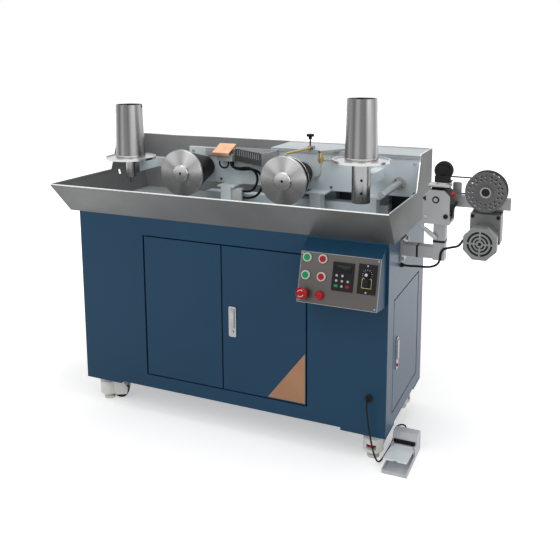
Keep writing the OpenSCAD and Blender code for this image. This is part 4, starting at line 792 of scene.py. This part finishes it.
class WIRE_MACHINE_OT_stage(bpy.types.Operator):
    """Sets the camera, the floor and the soft studio light"""
    bl_idname = "wire_machine.stage"
    bl_label = "Stage"

    def execute(self, context):
        scene = context.scene
        stage = scene.wire_machine_stage
        scene.view_settings.view_transform = "Standard"
        self.camera(scene, stage)
        self.floor(scene, stage)
        self.world(scene, stage)
        for name, (place, target, size, share) in LAMPS.items():
            self.lamp(scene, name, at(*place), at(*target), size, stage.key * share)
        return {"FINISHED"}

    def camera(self, scene, stage):
        data = bpy.data.cameras.new("Camera")
        data.lens = stage.lens
        data.sensor_width = SENSOR_W
        data.sensor_fit = "HORIZONTAL"
        data.shift_x, data.shift_y = CAMERA_SHIFT
        camera = bpy.data.objects.new("Camera", data)
        camera.location = at(*CAMERA_PLACE)
        camera.rotation_euler = (math.pi / 2 - CAMERA_TILT, 0, CAMERA_TURN)
        scene.collection.objects.link(camera)
        scene.camera = camera

    def floor(self, scene, stage):
        bm = bmesh.new()
        bmesh.ops.create_circle(bm, cap_ends=True, segments=96, radius=FLOOR_R)
        floor = bpy.data.objects.new("Floor", mesh_of("Floor", bm))
        scene.collection.objects.link(floor)
        floor.data.materials.append(self.floor_white(stage))

    def floor_white(self, stage):
        """Pale paint that brightens away from the machine, until it meets the white background."""
        material = bpy.data.materials.new("floor")
        material.use_nodes = True
        tree = material.node_tree
        place = add_node(tree, "ShaderNodeTexCoord")["Object"]
        distance = vector_math(tree, "LENGTH", place)["Value"]
        lift = mapped(tree, distance, FLOOR_FADE, (stage.floor_lift, 1))
        glow = add_node(tree, "ShaderNodeMath", {0: lift, 1: self.seen_rays(tree)}, operation="MULTIPLY")
        set_inputs(tree, tree.nodes["Principled BSDF"], {
            "Base Color": (*stage.floor, 1), "Roughness": 0.9, "Specular IOR Level": 0.1,
            "Emission Color": (1, 1, 1, 1), "Emission Strength": glow[0]})
        return material

    def seen_rays(self, tree):
        """One for rays that show the background: those of the camera, of gloss and through glass."""
        path = add_node(tree, "ShaderNodeLightPath")
        seen = path["Is Camera Ray"]
        for ray in ("Is Glossy Ray", "Is Transmission Ray"):
            seen = add_node(tree, "ShaderNodeMath", {0: seen, 1: path[ray]}, operation="MAXIMUM")[0]
        return seen

    def world(self, scene, stage):
        world = bpy.data.worlds.new("Studio")
        world.use_nodes = True
        scene.world = world
        tree = world.node_tree
        bright = mapped(tree, self.seen_rays(tree), (0, 1), (stage.sky, 1))
        set_inputs(tree, tree.nodes["Background"], {"Color": (1, 1, 1, 1), "Strength": bright})

    def lamp(self, scene, name, place, target, size, power):
        data = bpy.data.lights.new(name, "AREA")
        data.size = size
        data.energy = power
        lamp = bpy.data.objects.new(name, data)
        lamp.location = place
        lamp.rotation_euler = (target - place).to_track_quat("-Z", "Y").to_euler()
        scene.collection.objects.link(lamp)


# Routes of the cords, in millimetres from the cabinet's middle, its front and the floor
PEDAL_CORD = [
    (569, -15, 245), (569, -24, 243), (570, -31, 234), (572, -33, 210), (576, -31, 170), (582, -27, 125),
    (589, -21, 80), (596, -12, 42), (602, 3, 16), (606, 26, 6), (609, 60, 5), (611, 110, 5), (611, 160, 5),
    (607, 205, 5), (600, 245, 5), (598, 270, 5), (604, 290, 5), (616, 298, 5), (628, 292, 5), (635, 274, 5),
    (642, 248, 6), (652, 222, 10), (662, 200, 18), (669, 183, 24), (671, 174, 26), (671, 165, 26)]
MOTOR_CABLE = [
    (861.7, 136, 806), (845.7, 136, 802), (828, 141.7, 778), (800, 151.7, 766), (776, 155.7, 756),
    (766, 155.7, 738), (764, 155.7, 716), (752, 155.7, 698), (726, 155.7, 688), (688, 155.7, 686),
    (658, 155.7, 684), (642, 155.7, 684)]
COOLANT_HOSES = {
    "coolant_hose_front": [
        (-112, 303, 984.7), (-112, 303, 974), (-102, 302, 962), (-76, 298, 960), (-38, 293, 965),
        (-6, 290, 956), (10, 288, 930), (4, 289, 900), (-16, 295, 876), (-38.2, 300, 868), (-60.2, 300, 867)],
    "coolant_hose_rear": [
        (-114, 319, 984.7), (-114, 319, 970), (-102, 318, 955), (-66, 314, 953), (-24, 310, 957),
        (8, 306, 947), (26, 303, 920), (20, 302, 882), (-4, 300, 852), (-38.2, 300, 842), (-60.2, 300, 841)]}
COOLANT_LOOP = [
    (-166, 304, 984.7), (-166, 304, 972), (-159, 305, 960), (-147, 306, 956), (-135, 307, 960),
    (-128, 308, 972), (-128, 308, 984.7)]
VALVE_HOSE = [
    (282, 275, 1005.7), (282, 275, 990), (280, 278, 968), (266, 292, 948), (248, 312, 937), (240, 325, 935),
    (240, 334.7, 935)]


class WIRE_MACHINE_OT_cords(bpy.types.Operator):
    """Lays the pedal's cord, the winder motor's cable and the coolant hoses"""
    bl_idname = "wire_machine.cords"
    bl_label = "Cords"

    def execute(self, context):
        size = sizes()
        nodes = frame["nodes"]
        bm = bmesh.new()
        # A black plate in the pedal's slot, as painted shade
        add_box(bm, PEDAL_SLOT_SHADE, 0.6)
        slot = piece("pedal_slot_shade", "cabinet", black_plastic(), bm)
        self.cord("pedal_cord_lead", PEDAL_CORD, size.cord_d, "pedal_cord", "tool", "loose",
                  [nodes["pedal_base"], nodes["pedal_treadle"], slot])
        self.cord("motor_lead", MOTOR_CABLE[::-1], size.cable_d, "motor_cable", "object", "hanging")
        for name, route in COOLANT_HOSES.items():
            self.cord(name, route, size.hose_d, "coolant_hoses", "object", "hanging")
        self.cord("coolant_loop", COOLANT_LOOP, size.thin_hose_d, "coolant_hoses", "object", "hanging")
        self.cord("valve_hose", VALVE_HOSE, size.thin_hose_d, "coolant_hoses", "object", "hanging",
                  material=pale_plastic())
        gland = [(0, 0), (8, 0), (8, 6), (6.5, 7), (6.5, 11), (5.5, 12), (4.2, 12), (4.2, 8), (0, 8)]
        turned_piece("motor_lead_gland", "cabinet", black_plastic(), gland, at(*CABLE_ENTRY),
                     RIGHT, 24)
        return {"FINISHED"}

    def cord(self, name, route, diameter, node, far_end, lay, with_pieces=(), material=None):
        points = smooth_route([at(*place) for place in route], sizes().curve_steps)
        lead = tube_curve(name, points, diameter, "cabinet", material or rubber())
        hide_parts(node)


# Finishes by material slot, and those of the solids that differ from their slot
SLOT_FINISHES = {
    "cabinet_paint": cabinet_paint, "stainless": stainless, "frame_paint": frame_paint,
    "bright_steel": bright_steel, "cone_black": cone_black, "copper": copper, "brass": brass,
    "machined": machined, "rubber": rubber, "black_plastic": black_plastic, "castor_cream": castor_cream,
    "signal_red": signal_red, "signal_green": signal_green, "pedal_paint": pedal_enamel}
OWN_FINISHES = {
    "control_faceplate": face_plate, "winder_spool": spool_grey, "button_bezels": pale_plastic,
    "castor_feet": castor_cream, "die_comb": comb_steel, "die_box": die_steel, "drive_housing": housing_paint,
    "guide_spindle": die_steel, "tray_floor": tray_floor, "tray_end_walls": tray_ends,
    "tray_back_wall": tray_inside, "winder_motor": motor_grey, "side_door": side_sheen_paint,
    "side_stiles": side_sheen_paint, "side_rails": side_sheen_paint, "pedal_treadle": treadle_plate}


class WIRE_MACHINE_OT_finishes(bpy.types.Operator):
    """Gives every solid its finish"""
    bl_idname = "wire_machine.finishes"
    bl_label = "Finishes"

    def execute(self, context):
        nodes = frame["nodes"]
        slots = {part["node"]: part["material_slot"] for part in frame["record"]["subparts"]}
        for node, obj in nodes.items():
            self.paint(obj, SLOT_FINISHES[slots[node]]())
        for side, x in CAPSTAN_XS.items():
            disc = disc_steel(f"{side}_disc_steel", at(x, DISC_Y, CAPSTAN_Z))
            self.paint(nodes[f"{side}_capstan_disc"], disc)
        for side, place in CONES.items():
            self.paint(nodes[f"{side}_take_up_cone"], cone_steel(f"{side}_cone_steel", at(*place)))
        for node, maker in OWN_FINISHES.items():
            self.paint(nodes[node], maker())
        return {"FINISHED"}

    def paint(self, obj, material):
        if not obj.material_slots:
            obj.data.materials.append(material)
        for slot in obj.material_slots:
            slot.material = material


class WIRE_MACHINE_OT_fasteners(bpy.types.Operator):
    """Sets the screws and bolts in their seats"""
    bl_idname = "wire_machine.fasteners"
    bl_label = "Fasteners"

    def execute(self, context):
        size = sizes()
        self.head(size)
        self.console(size)
        self.winder(size)
        castor = [(at(x + sx * CASTOR_BOLT_OUT, y + sy * CASTOR_BOLT_OUT, CASTOR_TOP), -UP)
                  for x, y in CASTORS for sx, sy in CORNERS]
        screws("castor_bolts", castor, size.castor_bolt_d, bright_steel(), **HEXAGON)
        return {"FINISHED"}

    def head(self, size):
        plate = [(at(x, PLATE_Y, z), FORWARD) for x in PLATE_SCREW_XS for z in PLATE_SCREW_ZS]
        screws("plate_screws", plate, size.screw_d, bright_steel())
        spindle = [(on_circle(SPINDLE, SPINDLE_SCREW_R, math.pi / 4 * k), FORWARD) for k in (1, 3, 5, 7)]
        screws("spindle_screws", spindle, size.spindle_screw_d, bright_steel())
        x, y, z = CONES["right"]
        way = Vector((math.sin(BEARING_SCREW_TURN), -math.cos(BEARING_SCREW_TURN), 0))
        bearing = [(at(x, y, z - drop) + way * BEARING_R * MM, way) for drop in BEARING_SCREW_DROPS]
        screws("bearing_screws", bearing, size.bearing_screw_d, black_plastic(), "black_plastic")

    def console(self, size):
        places = [face((u, v)) for u in FACE_SCREW_US for v in FACE_SCREW_VS]
        places += [face((DIAL[0], v), PANEL_OUT) for v in SPEED_SCREW_VS]
        console = [(place, FACE_NORMAL) for place in places]
        screws("console_screws", console, size.fine_screw_d, bright_steel())

    def winder(self, size):
        gear = [(at(MOTOR_AXIS[0] + sx * GEAR_BOLT_OUT, GEAR_Y, GEAR_Z + sz * GEAR_BOLT_OUT), FORWARD)
                for sx, sz in CORNERS]
        screws("winder_bolts", gear, size.bolt_d, black_plastic(), "black_plastic", **HEXAGON)
        screws("traverse_screw", [(at(*TRAVERSE_SCREW), FORWARD)], size.screw_d, bright_steel())
        y, z = WALL_PLATE
        wall = [(at(CABINET_SIDE + WALL_PLATE_T, y + sy * WALL_BOLT_OUT, z + sz * WALL_BOLT_OUT), RIGHT)
                for sy, sz in CORNERS]
        screws("wall_bolts", wall, size.bolt_d, bright_steel(), **HEXAGON)


class WIRE_MACHINE_OT_cabinet_trims(bpy.types.Operator):
    """Adds the corner plate and the buttons and lever of the latches"""
    bl_idname = "wire_machine.cabinet_trims"
    bl_label = "Cabinet trims"

    def execute(self, context):
        corner = [at(x, 0, z) for x, z in CORNER_PLATE]
        plate_piece("corner_plate", "right_door", corner_brown(), corner, FORWARD, 0.8, 0.2)
        bm = bmesh.new()
        add_lathe(bm, self.button(4.6), at(*LATCH_BUTTON), FORWARD)
        add_box(bm, LATCH_LEVER, 0.9)
        piece("latch_lever", "right_door", bright_steel(), bm)
        turned_piece("side_latch_button", "side_door", signal_red(), self.button(3.6),
                     at(*SIDE_LATCH), RIGHT)
        return {"FINISHED"}

    def button(self, height):
        """The profile of a latch's button."""
        return [(0, height), (5, height), (5.6, height - 0.6), (5.6, 0), (0, 0)]


class WIRE_MACHINE_OT_head_trims(bpy.types.Operator):
    """Adds a painted highlight on the tray's rim, the bosses, the cone's ring, painted light behind the die
    comb, the flange skins and small fittings
    """
    bl_idname = "wire_machine.head_trims"
    bl_label = "Drawing head trims"

    def execute(self, context):
        self.rim()
        self.capstans()
        self.dies()
        self.flanges()
        self.fittings()
        return {"FINISHED"}

    def rim(self):
        # A near-white bar along the rim's line, as a painted highlight
        left, right = TRAY_LEFT + 2, TRAY_RIGHT - 1
        foot_y, top_y = CHEEK_YS
        end_line = [(RIM_FRONT, RIM_Z), (foot_y, RIM_Z), (top_y, CHEEK_Z), (TRAY_BACK, CHEEK_Z)]
        runs = [((left, RIM_FRONT + 2, RIM_Z), (right, RIM_FRONT + 2, RIM_Z))]
        for x in (left, right):
            runs += [((x, *start), (x, *end)) for start, end in zip(end_line, end_line[1:])]
        runs.append(((left, TRAY_BACK, CHEEK_Z), (right, TRAY_BACK, CHEEK_Z)))
        bm = bmesh.new()
        for start, end in runs:
            add_bar(bm, at(*start), at(*end), RIM_W)
        piece("tray_rim_highlight", "cabinet", rim_highlight_steel(), bm)

    def capstans(self):
        boss = [(5, 0), (5, 0.6), (31.4, 0.6), (33.4, -1.4), (33.4, -7.8), (33, -7.8)]
        for side, x in CAPSTAN_XS.items():
            turned_piece(f"{side}_boss", f"{side}_capstan", polished_steel(), boss,
                         at(x, DISC_Y - BOSS_H, CAPSTAN_Z), FORWARD, 56)
        ring = [(77.5, 0), (84.5, 0), (85.5, 1), (85.5, 3), (84.5, 4), (77.5, 4)]
        turned_piece("right_cone_band", "right_capstan", polished_steel(), ring,
                     at(CAPSTAN_XS["right"], DISC_Y + CONE_RING_DEPTH, CAPSTAN_Z), -FORWARD, 96)

    def dies(self):
        """A white plate along the die box's front, behind its comb: painted light seen through its slots."""
        start, end = (Vector(place) for place in DIE_FRONT)
        run = (end - start).normalized()
        inward = Vector((-run.y, run.x))
        ends = [start + run * along + inward * COMB_LIGHT_GAP for along in COMB_LIGHT_RUN]
        low, high = COMB_LIGHT_Z
        outline = [at(*ends[k], z) for k, z in ((0, low), (1, low), (1, high), (0, high))]
        plate_piece("die_comb_light", "cabinet", hole_light_white(), outline, inward.to_3d(), 1.5, 0.3)

    def flanges(self):
        """A bright skin over each take-up cone's lipped flange and foot."""
        skin = [(58.4, 17), (58.9, 5.3), (95.7, 5.3), (95.7, 9.3), (100.3, 9.3), (100.3, 0)]
        for side, place in CONES.items():
            turned_piece(f"{side}_flange_skin", f"{side}_take_up", polished_steel(), skin,
                         at(*place), UP, 96)

    def fittings(self):
        start, end = (at(*place) for place in VALVE_STUB)
        reach = (end - start).length / MM
        bm = bmesh.new()
        add_lathe(bm, [(0, 0), (6.6, 0), (6.6, reach), (0, reach)], start, end - start, 24)
        add_box(bm, HOSE_BLOCK, 1.5)
        piece("pale_fittings", "cabinet", pale_plastic(), bm)
        bush = [(32, -12), (33.2, -12), (33.2, -7), (32, -7)]
        turned_piece("bearing_bush", "cabinet", copper(), bush, at(*CONES["right"]), UP, 48)
        wheel = [(0, 42), (24, 42), (26, 44), (26, 52), (24, 54), (0, 54)]
        bm = bmesh.new()
        for x, y in CASTORS:
            add_lathe(bm, wheel, at(x, y, 0), UP, 24)
        piece("thumbwheels", "cabinet", signal_red(), bm)


class WIRE_MACHINE_OT_console(bpy.types.Operator):
    """Dresses the console: the display, the keys, the knob with its marks, the switch and the edges"""
    bl_idname = "wire_machine.console"
    bl_label = "Console"

    def execute(self, context):
        self.keypad()
        self.dial()
        self.pad("speed_switch", black_plastic(), face(SPEED_SWITCH, 11), (12, 19), 2, 2.2, 0.8)
        self.edge("speed_frame", "black_plastic", brass(), SPEED_FRAME, PANEL_OUT, 1.0)
        self.edge("face_edge", "stainless", machined(), FACE_EDGE, 2, 1.6)
        self.stop_marks()
        return {"FINISHED"}

    def keypad(self):
        self.pad("display_window", display_glass(), face(DISPLAY, 6.6), (58, 24), 2, 1.6, 0.4)
        key = [(0, 3.2), (3.4, 3.0), (4.3, 2.2), (4.3, 0), (0, 0)]
        bm = bmesh.new()
        for place in GREY_KEYS:
            add_lathe(bm, key, face(place, KEY_OUT), FACE_NORMAL, 28)
        piece("grey_keys", "cabinet", machined(), bm)
        for name, place, maker in (("run_key", RUN_KEY, signal_green), ("stop_key", STOP_KEY, signal_red)):
            self.pad(name, maker(), face(place, KEY_OUT), (13, 8), 1.6, 2.6, 0.6)

    def dial(self):
        knob = [(0, KNOB_H), (8.6, KNOB_H), (9.8, KNOB_H - 1.2), (11, 0), (0, 0)]
        turned_piece("speed_knob", "cabinet", black_plastic(), knob, face(DIAL, PANEL_OUT),
                     FACE_NORMAL, 24)
        mark = ((-0.5, -2), (0.5, -2), (0.5, 2), (-0.5, 2))
        bm = bmesh.new()
        for angle in range(-DIAL_SWEEP, DIAL_SWEEP + 1, DIAL_STEP):
            a = math.radians(angle)
            way = RIGHT * math.sin(a) + FACE_UP * math.cos(a)
            side = way.cross(FACE_NORMAL)
            middle = face(DIAL, PANEL_OUT) + way * DIAL_R * MM
            add_plate(bm, [middle + side * x * MM + way * y * MM for x, y in mark], FACE_NORMAL, 0.3, 0.05)
        cap = [(0, 0.8), (4.2, 0.8), (5, 0), (5, -1)]
        add_lathe(bm, cap, face(DIAL, PANEL_OUT + KNOB_H), FACE_NORMAL, 24)
        piece("dial_marks", "cabinet", pale_plastic(), bm)

    def stop_marks(self):
        """Two arcs of short bars on the stop button."""
        u, v = STOP_BUTTON
        bm = bmesh.new()
        for start in STOP_MARK_STARTS:
            angles = [math.radians(start + STOP_MARK_STEP * k) for k in range(6)]
            places = [(u + STOP_MARK_R * math.cos(a), v + STOP_MARK_R * math.sin(a)) for a in angles]
            arc = [face(place, STOP_OUT) for place in places]
            for ends in zip(arc, arc[1:]):
                add_bar(bm, *ends, 2)
        piece("stop_marks", "cabinet", pale_plastic(), bm)

    def pad(self, name, material, centre, size, radius, thickness, bevel):
        """A flat piece with round corners on the console's face."""
        outline = round_box_outline(centre, RIGHT, FACE_UP, *size, radius)
        plate_piece(name, "cabinet", material, outline, FACE_NORMAL, thickness, bevel)

    def edge(self, name, slot, material, box, out, width):
        """A line round a rectangle on the console's face."""
        (left, top), (right, bottom) = box
        corners = [(left, top), (right, top), (right, bottom), (left, bottom)]
        bm = bmesh.new()
        for start, end in zip(corners, corners[1:] + corners[:1]):
            add_bar(bm, face(start, out), face(end, out), width)
        piece(name, "cabinet", material, bm)


class WIRE_MACHINE_OT_winder_trims(bpy.types.Operator):
    """Adds the traverse's lever and knobs, the cable's ties and sleeve, and trims of the motor and spool"""
    bl_idname = "wire_machine.winder_trims"
    bl_label = "Winder trims"

    def execute(self, context):
        self.traverse()
        self.covers()
        self.cable_sleeve()
        self.fan()
        self.spool_hole_light()
        self.hub()
        return {"FINISHED"}

    def traverse(self):
        lever_x, lever_y, lever_z = LEVER
        bm = bmesh.new()
        add_lathe(bm, [(0, 13), (11, 12), (13, 10), (13, 0), (0, 0)], at(*LEVER), RIGHT, 24)
        for start, end, width in LEVER_ARMS:
            add_bar(bm, *(at(lever_x + out, lever_y, lever_z + rise) for out, rise in (start, end)), width)
        add_lathe(bm, [(0, 8), (6, 7), (8, 4), (8, 0), (0, 0)], at(*TRAVERSE_KNOB), FORWARD, 24)
        add_lathe(bm, [(7.2, 0), (7.2, 1.2), (12, 1.2), (12, 0)], at(*TRAVERSE_RING), FORWARD, 32)
        add_plate(bm, [at(x, TRAVERSE_Y, z) for x, z in POINTER], FORWARD, 4)
        for tie in CABLE_TIES:
            add_box(bm, tie, 0.6)
        piece("winder_black_trims", "cabinet", black_plastic(), bm)
        knob = [(0, 14), (6, 13), (8, 10), (8, 4), (4, 2), (4, 0), (0, 0)]
        turned_piece("pitch_knob", "cabinet", signal_red(), knob, at(*PITCH_KNOB), RIGHT, 24)

    def covers(self):
        shield = round_box_outline(at(*BELT_SHIELD), RIGHT, UP, 30, 46, 6)
        plate_piece("belt_shield", "cabinet", machined(), shield, FORWARD, 5, 0.5)
        bm = bmesh.new()
        add_box(bm, CARRIAGE_CAP, 1)
        add_lathe(bm, [(0, 0), (22.8, 0), (22.8, 6), (21, 7.4), (0, 7.4)], at(*CAP_BUTTON), UP, 40)
        piece("carriage_cap", "carriage", pale_plastic(), bm)

    def cable_sleeve(self):
        start, end = (at(*place) for place in CABLE_SLEEVE)
        reach = (end - start).length / MM
        sleeve = [(0, 0), (5, 0), (7.5, 6), (8.5, 26), (7, reach - 20), (3.4, reach), (0, reach)]
        turned_piece("lead_sleeve", "cabinet", pale_plastic(), sleeve, start, end - start,
                     24)

    def fan(self):
        """Black rings as painted shade at the floors of the slots in the motor's fan cover, and a dot in its
        middle.
        """
        x, z = MOTOR_AXIS
        bm = bmesh.new()
        for inner, outer in FAN_SLOT_SHADE:
            add_lathe(bm, [(inner, 0), (outer, 0)], at(x, FAN_SHADE_Y, z), FORWARD, 64)
        dot = at(x, 0, z)
        dot.y = Vector(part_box("winder_motor")[0]).y
        add_lathe(bm, [(0, 0.6), (5, 0.6), (5.8, 0)], dot, FORWARD, 32)
        piece("fan_slot_shade_and_dot", "cabinet", black_plastic(), bm)

    def spool_hole_light(self):
        """White sleeves in the holes of the spool's front flange: painted light seen through the holes."""
        bm = bmesh.new()
        for row_r, count, hole_d in SPOOL_HOLES:
            inner = hole_d / 2 - 0.25
            for k in range(count):
                place = on_circle(SPOOL, row_r, 2 * math.pi * k / count)
                add_lathe(bm, [(inner, 0), (inner, -4)], place, FORWARD, 16)
        piece("spool_hole_light_rings", "spool", hole_light_white(), bm)

    def hub(self):
        hub = [(13.4, -1), (13.4, 2), (14.2, 2.8), (20.6, 2.8), (21.6, 1.8), (21.6, -1)]
        turned_piece("spool_hub", "spool", machined(), hub, at(*SPOOL), FORWARD, 48)
        plug = [(0, 1.6), (3, 1.6), (3.6, 0.6), (13.4, 0.6), (13.4, -1)]
        turned_piece("spool_plug", "spool", black_plastic(), plug, at(*SPOOL), FORWARD, 48)


# The sidebar panel

OPERATORS = (
    WIRE_MACHINE_OT_stage, WIRE_MACHINE_OT_cords, WIRE_MACHINE_OT_finishes, WIRE_MACHINE_OT_fasteners,
    WIRE_MACHINE_OT_cabinet_trims, WIRE_MACHINE_OT_head_trims, WIRE_MACHINE_OT_console,
    WIRE_MACHINE_OT_winder_trims)
GROUPS = {"wire_machine_colours": WireMachineColours, "wire_machine_sizes": WireMachineSizes,
          "wire_machine_stage": WireMachineStage}


class WIRE_MACHINE_PT_panel(bpy.types.Panel):
    """Lists the machine's steps with their sizes and colours"""
    bl_label = "Wire Machine"
    bl_idname = "WIRE_MACHINE_PT_panel"
    bl_space_type = "VIEW_3D"
    bl_region_type = "UI"
    bl_category = "Wire Machine"

    def draw(self, context):
        layout = self.layout
        for operator in OPERATORS:
            layout.operator(operator.bl_idname)
        for name, group in GROUPS.items():
            box = layout.box()
            for value in group.__annotations__:
                box.prop(getattr(context.scene, name), value)


def register():
    for name, group in GROUPS.items():
        bpy.utils.register_class(group)
        setattr(bpy.types.Scene, name, PointerProperty(type=group))
    for operator in OPERATORS:
        bpy.utils.register_class(operator)
    bpy.utils.register_class(WIRE_MACHINE_PT_panel)


def unregister():
    bpy.utils.unregister_class(WIRE_MACHINE_PT_panel)
    for operator in reversed(OPERATORS):
        bpy.utils.unregister_class(operator)
    for name, group in reversed(GROUPS.items()):
        delattr(bpy.types.Scene, name)
        bpy.utils.unregister_class(group)


def main():
    register()
    bpy.ops.wire_machine.stage()
    bpy.ops.wire_machine.cords()
    bpy.ops.wire_machine.finishes()
    bpy.ops.wire_machine.fasteners()
    bpy.ops.wire_machine.cabinet_trims()
    bpy.ops.wire_machine.head_trims()
    bpy.ops.wire_machine.console()
    bpy.ops.wire_machine.winder_trims()


if __name__ == "__main__":
    main()
